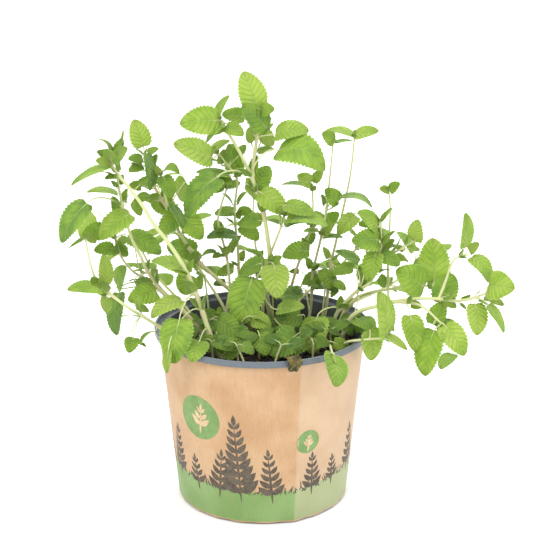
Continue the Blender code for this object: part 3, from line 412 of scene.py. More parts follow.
dark_ink = bmesh.new()
for degrees, foot, height, pairs, leaf in SPRIGS:
    print_sprig(dark_ink, math.radians(degrees), foot, height, pairs, leaf, 0.10 * math.sin(degrees))
rng = random.Random(12)
for k in range(GRASS_BLADES):
    degrees = -180 + 360 * (k + rng.uniform(-0.4, 0.4)) / GRASS_BLADES
    edge = BAND_HEIGHT + BAND_SWAY * math.cos(2 * math.radians(degrees))
    tall = rng.uniform(3.0, 8.0) * (1.0 if abs(degrees - TALL_GRASS_MIDDLE) < TALL_GRASS_REACH else 0.6)
    root = (0, edge - rng.uniform(0.5, 3.0))
    print_leaf(dark_ink, math.radians(degrees), root, rng.uniform(-0.9, 0.9), tall, rng.uniform(0.5, 1.0),
               rng.uniform(-0.6, 0.6))
green_ink = bmesh.new()
pale_ink = bmesh.new()
for degrees, height, radius in DISCS:
    start = math.radians(degrees)
    print_disc(green_ink, start, height, radius)
    print_sprig(pale_ink, start, height - 0.62 * radius, 1.05 * radius, 3, 0.62 * radius, 0.12, INK * 2)
for bm, name, fresh, worn in ((dark_ink, "charcoal_print", CHARCOAL, CHARCOAL_WORN),
                              (green_ink, "green_print", DISC_GREEN, DISC_WORN),
                              (pale_ink, "pale_print", KRAFT_PALE, SPRIG_PALE)):
    bmesh.ops.recalc_face_normals(bm, faces=bm.faces[:])
    for face in bm.faces:
        if face.normal.dot(face.calc_center_median().to_2d().to_3d()) < 0:
            face.normal_flip()
    bmesh.ops.solidify(bm, geom=bm.faces[:], thickness=INK * 1.6)
    finish = start_finish(name + "_ink", 220.0, 1300.0, 1600.0, Specular_IOR_Level=0.35)
    colour = tint(finish.tree, finish.blotch, fresh, worn)
    colour = tint(finish.tree, finish.speck, colour, KRAFT, 0.7)
    colour = tint(finish.tree, finish.grain, colour, KRAFT_PALE, 0.18)
    ink_finish = end_finish(finish, colour, finish.grain, 0.55, 0.15, finish.grain, 0.02)
    dress(name, bm, [ink_finish])

# Compost: peat-free mix, moist and dark, filled to 14 mm below the rim and crowned a little. Its top is loose
# crumbs, bits of bark and pale straw, pressed lightly round the stems.
COMPOST_LEVEL = 94.0
COMPOST_CROWN = 1.5
COMPOST_GAP = 0.4
COMPOST_EDGE = wall_radius(COMPOST_LEVEL) - WALL - COMPOST_GAP
COMPOST_LOW = FLOOR + COMPOST_GAP
COMPOST_SHOULDER = COMPOST_LEVEL - 4
COMPOST_RINGS = 46
COMPOST_SIDES = 150
CRUMBS = 520
STRAW_EVERY = 5
STRAW_SHAPE = (3.2, 0.35, 0.35)
COMPOST_DARK = (0.016, 0.012, 0.009)
COMPOST_BROWN = (0.060, 0.038, 0.022)
COMPOST_PEAT = (0.028, 0.020, 0.013)
COMPOST_FLECK = (0.16, 0.105, 0.06)
STRAW_BROWN = (0.13, 0.085, 0.045)
STRAW_PALE = (0.26, 0.18, 0.10)


def compost_height(x, y):
    """The level of the compost's top, with its clods and crumbs."""
    crown = COMPOST_CROWN * (1 - (x * x + y * y) / COMPOST_EDGE ** 2)
    clods = 1.1 * noise.noise(Vector((x * 0.11, y * 0.11, 3.1)))
    crumbs = 0.7 * noise.noise(Vector((x * 0.45, y * 0.45, 7.7))) + 0.35 * noise.noise(Vector((x, y, 1.3)))
    return COMPOST_LEVEL + crown + clods + crumbs


compost_outline = [(0, COMPOST_LOW), (wall_radius(COMPOST_LOW) - WALL - COMPOST_GAP, COMPOST_LOW),
                   (wall_radius(COMPOST_SHOULDER) - WALL - COMPOST_GAP, COMPOST_SHOULDER)]
compost_outline += [(COMPOST_EDGE * (1 - i / COMPOST_RINGS), COMPOST_LEVEL) for i in range(COMPOST_RINGS + 1)]
compost_mesh = turned(compost_outline, COMPOST_SIDES)
for vert in compost_mesh.verts:
    if vert.co.z > COMPOST_LEVEL - 1:
        vert.co.z = compost_height(vert.co.x, vert.co.y)
rng = random.Random(41)
for k in range(CRUMBS):
    angle = rng.uniform(0, math.tau)
    at = round_axis((COMPOST_EDGE - 2.5) * math.sqrt(rng.random()), angle)
    straw = k % STRAW_EVERY == 0
    size = rng.uniform(0.5, 1.7)
    shape = STRAW_SHAPE if straw else (1.0, rng.uniform(0.7, 1.1), rng.uniform(0.5, 0.9))
    at.z = compost_height(at.x, at.y) + size * shape[2] * 0.3
    turn = Quaternion((0, 0, 1), rng.uniform(0, math.tau)) @ Quaternion((0, 1, 0), rng.uniform(-0.4, 0.4))
    crumb = bmesh.ops.create_icosphere(compost_mesh, subdivisions=1, radius=1.0)["verts"]
    for vert in crumb:
        vert.co *= 1 + 0.25 * noise.noise(vert.co * 2 + at)
    bmesh.ops.transform(compost_mesh, verts=crumb, matrix=Matrix.LocRotScale(at, turn, Vector(shape) * size))
    for face in {face for vert in crumb for face in vert.link_faces}:
        face.material_index = int(straw)
finish = start_finish("damp_compost", 260.0, 1100.0, 620.0, Specular_IOR_Level=0.35)
colour = tint(finish.tree, finish.blotch, COMPOST_DARK, COMPOST_BROWN)
colour = tint(finish.tree, finish.grain, colour, COMPOST_PEAT, 0.5)
colour = tint(finish.tree, finish.speck, colour, COMPOST_FLECK, 0.8)
relief = maths(finish.tree, "ADD", finish.grain, finish.blotch)
damp_compost = end_finish(finish, colour, finish.blotch, 0.95, -0.25, relief, 0.35)
finish = start_finish("straw_bits", 300.0, 1600.0, 900.0, Specular_IOR_Level=0.3)
colour = tint(finish.tree, finish.blotch, STRAW_BROWN, STRAW_PALE)
straw_bits = end_finish(finish, colour, finish.grain, 0.75, 0.15, finish.grain, 0.1)
dress("potting_compost", compost_mesh, [damp_compost, straw_bits], ["compost"], 60)

# Withered leaf: a dead lower leaf, dry and curled, that has fallen over the front of the rim and stuck there.
# It lies folded over the collar, dark on its outer side and tan where it has dried out.
DEAD_ANGLE = math.radians(-74)
DEAD_THICKNESS = 0.45
DEAD_ROUTE = [(-5.7, -0.6, 3.0), (-2.45, -0.3, 7.0), (-2.25, 1.25, 8.0), (1.05, 1.25, 8.0), (1.25, -1.5, 8.0),
              (1.9, -3.8, 7.0), (1.5, -5.6, 4.0)]
DEAD_DARK = (0.022, 0.028, 0.010)
DEAD_TAN = (0.24, 0.19, 0.055)
DEAD_BROWN = (0.05, 0.032, 0.014)


def smooth_route(points, steps):
    """Points along a smooth curve through these ones, each with its place among them."""
    route = []
    last = len(points) - 1
    for i in range(last):
        before, a, b, after = points[max(i - 1, 0)], points[i], points[i + 1], points[min(i + 2, last)]
        for k in range(steps):
            t = k / steps
            bent = (before * 2 - a * 5 + b * 4 - after) * t * t + (a * 3 - before - b * 3 + after) * t ** 3
            route.append((i + t, (a * 2 + (b - before) * t + bent) * 0.5))
    route.append((last, points[-1]))
    return route


def thicken(bm, faces, thickness):
    """Give an open skin its thickness, and return the closed piece's faces with their normals."""
    bmesh.ops.recalc_face_normals(bm, faces=list(faces))
    skin = list({vert for face in faces for vert in face.verts})
    for item in [*faces, *skin]:
        item.normal_update()
    lifted = bmesh.ops.extrude_face_region(bm, geom=list(faces), use_keep_orig=True)["geom"]
    raised = [item for item in lifted if isinstance(item, bmesh.types.BMVert)]
    for vert in raised:
        vert.co -= vert.normal * thickness
    shell = list({face for vert in skin + raised for face in vert.link_faces})
    bmesh.ops.recalc_face_normals(bm, faces=shell)
    for face in shell:
        face.normal_update()
    return shell


dead_outward = round_axis(1, DEAD_ANGLE)
dead_across = Vector((-dead_outward.y, dead_outward.x, 0))
dead_line = smooth_route([Vector(row) for row in DEAD_ROUTE], 6)
dead_mesh = bmesh.new()
dead_grid = bmesh.ops.create_grid(dead_mesh, x_segments=12, y_segments=len(dead_line) - 1, size=1.0)["verts"]
for vert in dead_grid:
    s, t = vert.co.x, round((vert.co.y / 2 + 0.5) * (len(dead_line) - 1))
    out, up, width = dead_line[t][1]
    ragged = 1 + 0.20 * noise.noise(Vector((t * 0.9, s * 1.5, 2.0)))
    curl = 0.9 * s * s + 0.9 * noise.noise(Vector((s * 2.6, t * 0.35, 5.0)))
    middle = dead_outward * (RIM_RADIUS + out) + Vector((0, 0, POT_HEIGHT + up))
    lift = dead_outward if up < 0.8 and out > 0 else Vector((0, 0, 1))
    vert.co = middle + dead_across * (s * width / 2 * ragged + 0.6 * math.sin(t * 0.35)) + lift * max(curl, 0)
thicken(dead_mesh, dead_mesh.faces, DEAD_THICKNESS)
finish = start_finish("dead_leaf", 330.0, 1200.0, 500.0, Specular_IOR_Level=0.3)
colour = tint(finish.tree, finish.blotch, DEAD_DARK, DEAD_TAN)
colour = tint(finish.tree, finish.grain, colour, DEAD_BROWN, 0.4)
relief = maths(finish.tree, "ADD", finish.grain, finish.blotch)
dead_leaf = end_finish(finish, colour, finish.grain, 0.6, 0.2, relief, 0.3)
dress("fallen_leaf", dead_mesh, [dead_leaf], ["withered_leaf"], 60)

# Stems and leaves: soft young catnip. Each square stem comes up out of the compost and carries opposite
# leaves on thin stalks, crenate, quilted, downy and paler beneath, and its side shoots carry more.
EYE = Vector((7.7, -886.6, 426.0))
UPRIGHT_FOOT = 2.0
BURIED = 8.0
TAPER = 0.45
THINNEST = 0.9
SUNK = 0.8
LEAF_WIDTH = 0.80
LEAF_THICKNESS = 0.32
HEART = 0.15
FOLD = 0.16
CUP = 0.10
NOTCH = 0.125
TOOTH = 1.9
SIDE_VEINS = 7
VEIN_SLANT = 0.28
QUILT = 0.005
WAVE = 0.020
UPPER, UNDER, STEM, DOWN = 0, 1, 2, 3
HAIR_LENGTH = 0.75
HAIR_THICKNESS = 0.09
HAIRS_PER_MM = 1.6
SQUARENESS = 1.12
KNOT_REACH = 0.16
KNOT_SWELL = 0.22
WIDEST = 0.68
FULLNESS = 0.57
LONG_LEAF = 16
SHORT_LEAF = 9
STALK_BEND = 0.35
STALK_GIRTH = 0.64
STALK_GAIN = 0.012
# The midrib under a blade: its places from the blade's base to its tip, with its girth over the stalk's.
MIDRIB = [(0.12, 0.62), (0.26, 0.48), (0.42, 0.36), (0.6, 0.2)]
TIP_LEAF = 4.5
TIP_STALK = 1.2
YOUNG_TONE = 1.2
AXIL_LEAF = (6.0, 10.5)
AXIL_STALK = (2.0, 5.0)
LOWEST_AXIL = 112
# Leaf colours from dark to light: each leaf's own tone, with painted shade on leaves in shadow and painted
# light on lit ones.
LEAF_TONES_AND_SHADES = [(0.115, 0.220, 0.045), (0.240, 0.380, 0.055), (0.355, 0.515, 0.062), (0.470, 0.620, 0.092),
              (0.590, 0.700, 0.150)]
MIDDLE_TONE_AND_SHADE = 0.54
TONE_AND_SHADE_STEP = 0.21
LEAF_PALE = (0.33, 0.47, 0.18)
LEAF_QUILT_SHADE = (0.12, 0.27, 0.030)
LEAF_LIT = (0.52, 0.76, 0.05)
NET_GREEN = (0.26, 0.44, 0.06)
VEIN_GREEN = (0.42, 0.58, 0.16)
MARGIN_PALE_AND_HIGHLIGHT = (0.50, 0.66, 0.22)
LEAF_DOWN = (0.40, 0.56, 0.20)
GLOW = 0.42
STEM_GREEN = (0.51, 0.55, 0.25)
STEM_PINK = (0.53, 0.39, 0.24)
STEM_PALE = (0.60, 0.63, 0.35)
STEM_FLECK = (0.62, 0.66, 0.38)
HAIR_GREEN = (0.62, 0.68, 0.42)
HAIR_PALE = (0.74, 0.76, 0.60)
# Each shoot: node, girth in mm, foot on the compost (x, y) or None for a side shoot, then its route as
# (x, z, back) and its leaves as (place on the route, blade base, blade tip, roll, arch, tone). A leaf's tone
# is partly its own and partly painted light and shade: low tones carry painted shade, high ones painted
# light.
SHOOTS = [
    ("leader_stem", 3.0, (8, 14),
     [(6.5, 107, 13), (4.5, 116, 12), (2.5, 127, 10), (3.5, 140, 8), (4.5, 151, 7), (3.2, 163, 6),
      (1, 177, 5), (-2.5, 189, 4), (-5.5, 198, 3), (-10, 208, 3), (-15, 218, 2), (-20, 226, 1),
      (-24, 232.5, 0)],
     [(12, (-25, 233, -3), (-47.5, 231, -6), 14, 10, 0), (12, (-26, 235, 2), (-18.5, 247.5, 4), 64, 8, 0),
      (12, (-22, 231, -3), (-32, 220, -8), 74, 6, -1), (12, (-21, 229.5, -3), (-10.5, 224, -6), 30, 10, 0),
      (12, (-22, 229, 4), (-31, 226, 8), 40, 10, 1), (8, (9.5, 215, -4), (37, 203, -8), 34, 34, 0),
      (8, (-26, 199, -4), (-44.5, 174, -6), 50, 14, -1), (7, (-1, 190, -3), (14.5, 176.5, -4), 30, 8, 1),
      (7, (-9.5, 195, 4), (3, 182, 6), 60, 5, 2), (8, (-3, 192, 5), (4, 206, 10), 20, 8, 0),
      (6, (0, 172.5, 3), (-14.5, 170.5, 6), 45, 10, -1)]),
    ("leader_stem", 2.2, None,
     [(-5.5, 198, 3), (-5, 206, 5), (-4, 214, 6), (-3, 221, 7), (-1.8, 230, 7), (-2.3, 238, 7)],
     [(5, (-2.6, 241, 1), (-10.5, 261.5, 3), 10, 6, 2), (5, (-0.5, 239, -2), (7.5, 239.5, -8), 10, 12, 0),
      (4, (2.5, 228.5, -4), (-11.5, 242, -4), 28, 8, -1), (3, (8, 224.5, -3), (27.5, 226.5, -5), 45, 16, 1),
      (4, (-9.5, 234.5, 3), (-23, 237, 5), 35, 8, 0), (3, (-1, 225.5, 4), (7.5, 219, 8), 30, 6, 2),
      (3, (-4.5, 226, 4), (-9, 221, 8), 30, 6, 2), (2, (-2.5, 214, 2), (7.5, 216, 4), 62, 8, 0)]),
    ("leader_stem", 1.4, None,
     [(4.5, 151, 7), (8, 160, 2), (11, 168, -1), (13, 175, -3)],
     [(3, (14, 182, -2), (31, 176, -4), 48, 8, 0), (3, (14.5, 173, -3), (39, 169, -6), 68, 14, 1),
      (3, (15, 176, -1), (20, 178, -5), 10, 5, 2), (2, (10.5, 171, 1), (3.5, 173, 2), 65, 10, -1),
      (2, (13.5, 169.5, 1), (26, 171.5, 2), 68, 14, -1)]),
    ("back_left_stem", 1.7, (-13, 34),
     [(-13.8, 116, 33), (-14, 130, 31), (-14, 143, 29), (-14.5, 158, 27), (-15.8, 170, 25), (-16, 181, 23),
      (-15, 190, 22), (-14.5, 198, 21), (-19, 205, 20), (-25, 213, 19)],
     [(9, (-29, 210.5, -4), (-51.5, 219, -6), 42, 6, 2), (9, (-30, 214, 2), (-18.5, 221, 2), 62, 10, 1),
      (7, (-15.5, 202, 4), (-19, 219, 6), 155, 6, 1), (8, (-13.5, 212, 4), (-9.5, 218.5, 6), 40, 5, -1),
      (7, (-19, 200, -3), (-38.5, 202, -3), 72, 6, -1), (7, (-17, 197, -3), (-28, 195, -5), 55, 10, 1),
      (8, (-24, 207, 3), (-22, 216, 5), 50, 5, 0), (5, (-16, 178.5, 4), (-28, 176.5, -4), 48, 6, -1),
      (4, (-12, 169.5, -4), (-2, 160.5, -6), 25, 8, 0), (5, (-14.5, 178.5, 3), (-5.5, 177, 5), 140, 8, 1),
      (2, (-17, 143, 2), (-27, 139.5, 4), 40, 6, -1)]),
    ("middle_thin_stem", 1.6, (-22, 20),
     [(-21.5, 112, 20), (-19.5, 132, 20), (-21, 150, 20), (-24, 163, 19), (-26, 173, 18), (-24, 182, 17),
      (-21, 191, 17)],
     [(3, (-15, 163, -2), (-33, 162, -4), 62, 12, -2), (0, (-24, 109, -6), (-33, 103, -8), 30, 8, -2),
      (2, (-24, 152, -2), (-17.5, 155.5, -3), 40, 8, 1), (2, (-24.5, 152, -2), (-29.5, 149.5, -4), 40, 8, 1),
      (6, (-20, 193.5, 8), (-12.5, 196, 4), 40, 5, 0), (6, (-22, 193, 2), (-29, 190, 3), 50, 5, 1)]),
    ("left_branch_stem", 2.4, (0, 29),
     [(-2.5, 111, 28), (-9, 119, 26), (-18, 128, 24), (-27, 136.5, 22), (-37, 146.5, 18), (-43, 155, 14),
      (-49, 165.5, 10), (-54, 177, 8), (-57.5, 190, 8), (-59.5, 199, 8)],
     [(9, (-58, 199.5, -3), (-53, 186, -5), 25, 10, -1), (9, (-57.5, 203, -2), (-48, 201, -3), 50, 40, 0),
      (9, (-60, 200, 2), (-64.5, 206.5, 4), 40, 8, 1), (7, (-53, 180, 4), (-65.5, 185, 8), 10, 8, 1),
      (6, (-50, 176, -6), (-60.5, 164, -8), 10, 8, 0), (7, (-52.5, 182, -6), (-47, 168, -10), 60, 5, -2),
      (7, (-46.5, 176, -3), (-35.5, 161, -4), 20, 8, 0), (7, (-44.5, 196, 6), (-49, 186, 12), 40, 5, 2),
      (5, (-40, 153, 8), (-56.5, 157.5, 8), 20, 6, -1), (4, (-35.5, 151.5, -3), (-27, 153, -3), 65, 15, -1)]),
    ("left_branch_stem", 1.6, None,
     [(-54, 177, 8), (-58, 184, 10), (-62, 191, 12), (-66, 201, 13), (-68.5, 212, 14)],
     [(4, (-69, 217.5, 1), (-74, 233.5, 3), 10, 6, 2), (4, (-66.5, 213.5, 2), (-60, 216.5, 3), 45, 8, 1),
      (4, (-69.5, 210, -2), (-78, 210, -4), 35, 8, 0), (3, (-69.5, 206, -2), (-78, 202.5, -3), 35, 8, 0),
      (4, (-67, 213, -4), (-66, 191, -8), 66, 6, -2), (3, (-64.5, 206, 2), (-61, 213, 3), 45, 5, 0),
      (2, (-71, 193.5, -2), (-78, 194, -5), 20, 6, 2), (1, (-66.5, 185.5, -2), (-60, 188, -3), 40, 5, 0),
      (1, (-66, 188.5, 3), (-74, 184, 4), 140, 6, 1)]),
    ("front_left_stem", 2.8, (-25, -24),
     [(-28, 90, -24), (-32, 102, -24), (-35.5, 114, -23), (-39, 125.5, -22), (-44, 138, -21), (-50, 150, -20),
      (-57, 161, -20), (-64, 170.5, -21), (-70, 181, -22), (-77, 191.5, -23), (-83, 199, -24),
      (-87, 205, -24)],
     [(11, (-88.5, 205.5, -3), (-112, 194, -6), 77, 8, 0), (11, (-88.5, 207, -3), (-97, 209, -4), 30, 10, 1),
      (11, (-88, 210, 2), (-96, 214.5, 2), 40, 10, -1), (11, (-87.5, 214, 2), (-97.5, 221.5, 3), 80, 25, -1),
      (11, (-85.5, 214, 2), (-80.5, 227.5, 3), 80, -10, -1), (11, (-84.5, 213, 3), (-81, 222.5, 4), 40, 5, 0),
      (11, (-86, 209, -2), (-78, 216.5, -4), 40, 8, 0), (11, (-87, 206.5, -3), (-91, 216, -3), 150, 5, 1),
      (10, (-84.5, 199.5, -2), (-92, 198, -3), 55, 10, 1), (3, (-48, 122.5, -6), (-67, 111.5, -8), 54, 16, 2),
      (3, (-50, 110.5, -20), (-54, 82, -14), 18, 8, 0), (4, (-44, 141, 3), (-66, 148, 5), 60, 10, 1),
      (4, (-43, 139, 4), (-48, 127, 8), 10, 5, 0), (1, (-38, 97, -20), (-43, 83, -16), 12, 10, 0),
      (2, (-57, 91, -31), (-58, 76, -6), 60, 6, 1)]),
    ("left_upright_stem", 2.3, (-31, 4),
     [(-36.5, 103, 3), (-44, 112, 2), (-50, 119, 2), (-56, 125, 1), (-62, 131.5, 0), (-68, 140.5, -2),
      (-73, 152, -4), (-77.5, 162, -5), (-79.5, 170, -6), (-82, 180, -8), (-83.5, 190, -9), (-85, 201, -9)],
     [(10, (-85, 189, -2), (-103, 190, -3), 75, 10, 1), (9, (-103, 183, -6), (-119, 159, -6), 52, 10, -1),
      (9, (-85, 175, 3), (-88, 187.5, 4), 48, 6, -1), (9, (-76, 184.5, 3), (-71, 176, 4), 40, 6, 0),
      (9, (-78, 176.5, -4), (-96, 161, -8), 40, 12, 1), (9, (-72, 194, 2), (-66.5, 199.5, 3), 40, 6, 0),
      (5, (-76, 133.5, 3), (-66, 129.5, 4), 70, 8, -1), (4, (-63, 128, -4), (-80.5, 122.5, -8), 24, 12, 0),
      (4, (-76, 119, 3), (-68, 116, 4), 50, 8, 1)]),
    ("left_low_stem", 2.0, (-38, 16),
     [(-41, 106, 16), (-47, 114.5, 15), (-55, 122.5, 14), (-63, 130.5, 13), (-70, 136, 12), (-78, 142, 12),
      (-84, 150.5, 12), (-87, 160.5, 12)],
     [(7, (-93, 167, -3), (-107, 163, -7), 10, 12, 0), (7, (-79, 163.5, -3), (-60, 152, -5), 44, 8, 0),
      (7, (-100, 177, 4), (-108, 162, 6), 40, 6, 2), (7, (-88, 155.5, -3), (-100, 154, -5), 28, 8, -1),
      (6, (-86.5, 156.5, 3), (-79.5, 151, 4), 30, 6, 0), (3, (-87, 132, -6), (-81, 144, -8), 50, 8, -1),
      (3, (-86, 127.5, -9), (-88, 100.5, -10), 58, 8, -2), (4, (-80.5, 161, 2), (-87, 158.5, 3), 30, 5, 2)]),
    ("far_left_stem", 2.0, (-46, -20),
     [(-50.5, 95, -22), (-56, 101.5, -24), (-63.0, 106.4, -26), (-72, 112.6, -27), (-81, 118.5, -27),
      (-89, 125, -25), (-95, 130, -22), (-100, 137.5, -20), (-102.5, 147, -18), (-104.5, 160, -16)],
     [(6, (-96, 130, -3), (-117, 129.5, -5), 60, 8, 1), (6, (-94, 133, 3), (-94.5, 152, 4), 50, 6, 2),
      (5, (-93, 125, 3), (-94, 114.5, 3), 40, 6, 1), (9, (-106, 161, 2), (-115.5, 155, 3), 80, 6, 0),
      (9, (-103.5, 162, 2), (-98, 159.5, 3), 30, 8, 2), (3, (-78, 99, -4), (-81, 89, -10), 10, 10, 0),
      (3, (-77, 94.5, -3), (-70.5, 93, -3), 75, 20, 0), (2, (-65, 103, -6), (-74, 94, -6), 78, 20, 0)]),
    ("back_red_stem", 1.8, (16, 34),
     [(16.5, 120, 33), (17.5, 131, 30), (19.5, 139, 28), (22, 147, 26), (25.5, 156.5, 24), (28.5, 167, 22),
      (30, 178, 21), (29.8, 190, 20)],
     [(7, (29, 195.5, -2), (20.5, 200, -5), 20, 8, 2), (7, (30.5, 196, 2), (35.5, 203.5, 3), 30, 6, 1),
      (7, (27, 194, 1.5), (11.5, 194.5, 1), 78, 8, -1), (5, (33.5, 166.5, -1), (24.5, 166, -1), 66, 8, 0),
      (4, (28, 154, -4), (12, 151, -6), 146, 14, 1)]),
    ("right_tall_stem", 1.7, (29, 40),
     [(29.2, 118, 39), (29.8, 129, 36), (30.3, 140, 33), (32.5, 151, 30), (35, 162, 26), (37.8, 178, 21),
      (39, 190, 18), (40.3, 204, 16), (41.4, 218.5, 14)],
     [(8, (42, 220.5, -2), (35, 225.5, -6), 20, 6, 0), (8, (43, 219.8, 1), (53, 220.8, 2), 76, 8, -1),
      (5, (45, 184, -3), (37, 191.8, -5), 15, 8, 0), (5, (47, 187, -3), (65, 180.5, -3), 74, 20, -1),
      (4, (36, 168, 3), (45.5, 177.5, 5), 150, 8, 1), (4, (36, 173, 3), (31, 178.5, 4), 40, 6, 1),
      (4, (55.5, 175.5, -3), (45, 164, -5), 34, 12, 2), (4, (36, 164, -3), (42.5, 171, -4), 40, 6, 2),
      (4, (36.5, 162.3, -2), (48, 162.2, -2), 72, 8, -1), (2, (33, 139, 2), (24, 133, 2), 40, 8, -1),
      (2, (38, 143.3, 2), (26, 145.5, 2), 76, 6, 0), (1, (41, 131, 1), (31.5, 130, -3), 60, 12, -2)]),
    ("right_back_stem", 1.8, (38, 33),
     [(38.5, 118, 32), (39.5, 130, 31), (41, 146, 30), (43.5, 157.5, 30), (46, 170, 30), (49, 185, 30),
      (51.3, 197, 30), (52.8, 209, 30), (53.8, 222, 30)],
     [(8, (54.5, 224, -2), (68, 226.5, -4), 50, 10, 1), (8, (53, 224.3, 1), (36.5, 226.5, 2), 70, 12, 0),
      (2, (45, 142.5, 2), (38, 146.5, 3), 30, 8, 0), (2, (43, 134, -3), (33, 140.5, -5), 20, 8, 0),
      (2, (43, 134.5, -3), (50, 129, -5), 40, 8, 0), (1, (41, 127, -2), (46, 129, -5), 30, 8, 0)]),
    ("right_front_stem", 2.2, (42, 8),
     [(42.8, 104, 8), (43.8, 111, 6), (46, 116.5, 4), (51, 122.8, 2), (57, 128.8, 0), (64, 133.5, -2),
      (67.5, 140.5, -4), (69, 149, -5), (70.8, 158, -5), (70.3, 171, -3)],
     [(9, (70.5, 172.5, 1), (77, 180.5, 2), 68, 6, 0), (9, (68.5, 168.5, -2), (56.5, 178, -4), 45, 10, 1),
      (9, (67, 171, 2), (57, 170, 3), 140, 6, 1), (8, (69.5, 160.5, -3), (53, 160, -7), 10, 14, 0),
      (8, (71.2, 160.5, -2), (75, 161.5, -6), 20, 6, 1), (7, (68, 153, -5), (63.5, 134.5, -6), 32, 8, 1),
      (7, (70.5, 151.5, -4), (82, 144.5, -8), 30, 10, -1), (7, (70.5, 153.5, 2), (80.5, 157.2, 2), 70, 10, 0),
      (6, (70, 137.5, 2), (74, 131.5, 4), 30, 6, -1), (4, (57.5, 146.8, 3), (43.5, 154, 3), 60, 8, -1),
      (4, (54.5, 143, 5), (42, 139.5, 6), 50, 12, 0), (4, (57, 141.5, 4), (64, 133.5, 5), 38, 8, -1),
      (2, (33, 112, -12), (30, 88.3, -14), 20, 8, 2)]),
    ("right_front_stem", 1.4, None,
     [(69, 149, -5), (76, 151.5, -6), (83, 155.5, -7), (89.5, 159.8, -8)],
     [(3, (91, 160.3, -2), (92.5, 173.2, -4), 30, 8, 2), (1, (79, 150.5, -2), (86, 148, -3), 30, 8, 1),
      (2, (84.5, 154, 2), (79, 157, 3), 40, 8, 1)]),
    ("right_arm_stem", 2.5, (46, -3),
     [(48, 97.5, -5), (50.5, 106, -7), (55, 113.5, -9), (62, 117.3, -10), (69, 119, -10), (76, 121.3, -10),
      (84, 123, -10), (95, 124, -12), (106, 123.7, -14), (117, 122.4, -16), (127, 124.5, -18),
      (134, 127, -18)],
     [(11, (136, 132.5, -2), (151.5, 130.5, -19), 8, 8, 1),
      (11, (137, 123.5, -2), (145.5, 119.5, -3), 50, 8, 2),
      (11, (134.5, 122.5, 3), (137, 127.5, 4), 40, 8, -1), (10, (136, 119.5, -4), (146.2, 102, -5), 68, 8, 1),
      (9, (128, 120.5, -4), (130, 100.3, -6), 30, 10, 2), (8, (108, 121.5, 5), (113, 140, 14), 12, 8, -1)]),
    ("right_arm_stem", 1.6, None,
     [(76, 121.3, -10), (85, 121.5, -14), (94, 120, -18), (100, 116, -20), (105, 111, -22),
      (108, 108.2, -22)],
     [(1, (89, 113, -8), (92.5, 90.3, -9), 36, 8, 1), (5, (104, 103.5, -4), (99, 74, -8), 38, 8, 0),
      (5, (110, 107, -4), (123, 87.5, -8), 30, 8, 1), (5, (115.5, 88.5, 6), (108.5, 78.5, 5), 140, 6, 1),
      (4, (103, 107.5, 3), (109, 122, 7), 12, 8, -1), (5, (109, 109, 2), (116, 109.8, 2), 60, 8, -2),
      (5, (108, 107.5, 2), (107, 101, 3), 60, 8, -2)]),
    ("right_arm_stem", 1.6, None,
     [(106, 123.7, -14), (109.5, 134, -6), (112, 143, -4), (114, 148, -4), (116.5, 149.8, -4)],
     [(4, (120.3, 156, 1), (120, 177.5, 2), 62, 8, 1), (4, (123.3, 153.3, -2), (129, 158.8, -3), 30, 8, 2),
      (4, (124.5, 149.8, -3), (136, 134, -5), 48, 22, 1)]),
    ("right_arm_stem", 1.4, None,
     [(76, 121.3, -10), (75.3, 135, 0), (75, 150, 8), (75.5, 165, 12), (75.6, 180, 13), (74.6, 190, 13)],
     [(5, (75, 191, -1), (81, 195.6, -4), 25, 8, 0), (5, (74.4, 191, -1), (69, 192, -4), 25, 8, 0)]),
    ("right_low_stem", 1.6, (44, -24),
     [(46, 92, -26), (49, 94.5, -29), (52, 96.3, -33), (57.5, 97.3, -36), (65, 98, -37), (72.5, 98.5, -37)],
     [(5, (75.5, 101, -2), (69.5, 128, -4), 58, 6, 2), (5, (75, 100.2, -2), (88, 91, -3), 66, 6, 2),
      (5, (76.3, 108.5, 4), (80, 104, 5), 55, 6, 0), (4, (65, 104, 4), (67, 84.2, 2), 34, 8, 1),
      (0, (43, 95, 3), (52, 91, -5), 40, 10, 2)]),
    ("right_middle_stem", 2.2, (45, 15),
     [(46, 106, 15), (49.5, 115.5, 14), (57, 124.3, 12), (66, 128, 10), (75, 129.6, 8), (83, 131, 6),
      (92, 131.5, 4), (98, 132, 3)],
     [(7, (97, 131.5, -4), (80, 142, -12), 10, 8, 0), (7, (103, 135, 4), (101, 162, 10), 8, 8, 2),
      (2, (57, 111, -22), (67, 103, -16), 44, 10, -1), (1, (49, 107, -3), (55, 100.5, -2), 30, 10, -2)]),
    ("front_right_stem", 1.4, (38, -9),
     [(40.5, 93.5, -14), (41, 94, -30), (41.5, 92.5, -42), (42.3, 89.6, -54), (43, 87, -60)],
     [(4, (43.5, 88, -6), (44.5, 67, 5), 140, 8, 1), (0, (42, 104, 2), (43, 98, 1), 40, 8, 0)]),
    ("front_right_low_stem", 1.8, (17, -14),
     [(16, 93.5, -15), (14, 98.5, -16), (13, 104, -17)],
     [(2, (17, 101, -5), (7, 85, -12), 20, 10, 0), (2, (14, 110, 4), (21, 103, 5), 50, 8, -2),
      (2, (8, 112, 4), (21, 114.5, 7), 120, 6, -2), (1, (25, 94, -4), (13, 85.5, -14), 50, 8, 1)]),
    ("front_middle_stem", 1.6, (-3, -14),
     [(-4.5, 93.5, -15), (-11, 100, -17), (-13, 106.5, -18)],
     [(2, (-5.5, 112.5, -3), (5, 106, -4), 64, 24, 2), (0, (2.5, 101.5, -4), (0.5, 86.3, -10), 10, 8, 0),
      (2, (-3, 109, 4), (-2, 102, 5), 50, 6, -1)]),
    ("front_short_stem", 1.8, (-22, -6),
     [(-23.5, 96.5, -7), (-26, 104, -8), (-26, 112.5, -9)],
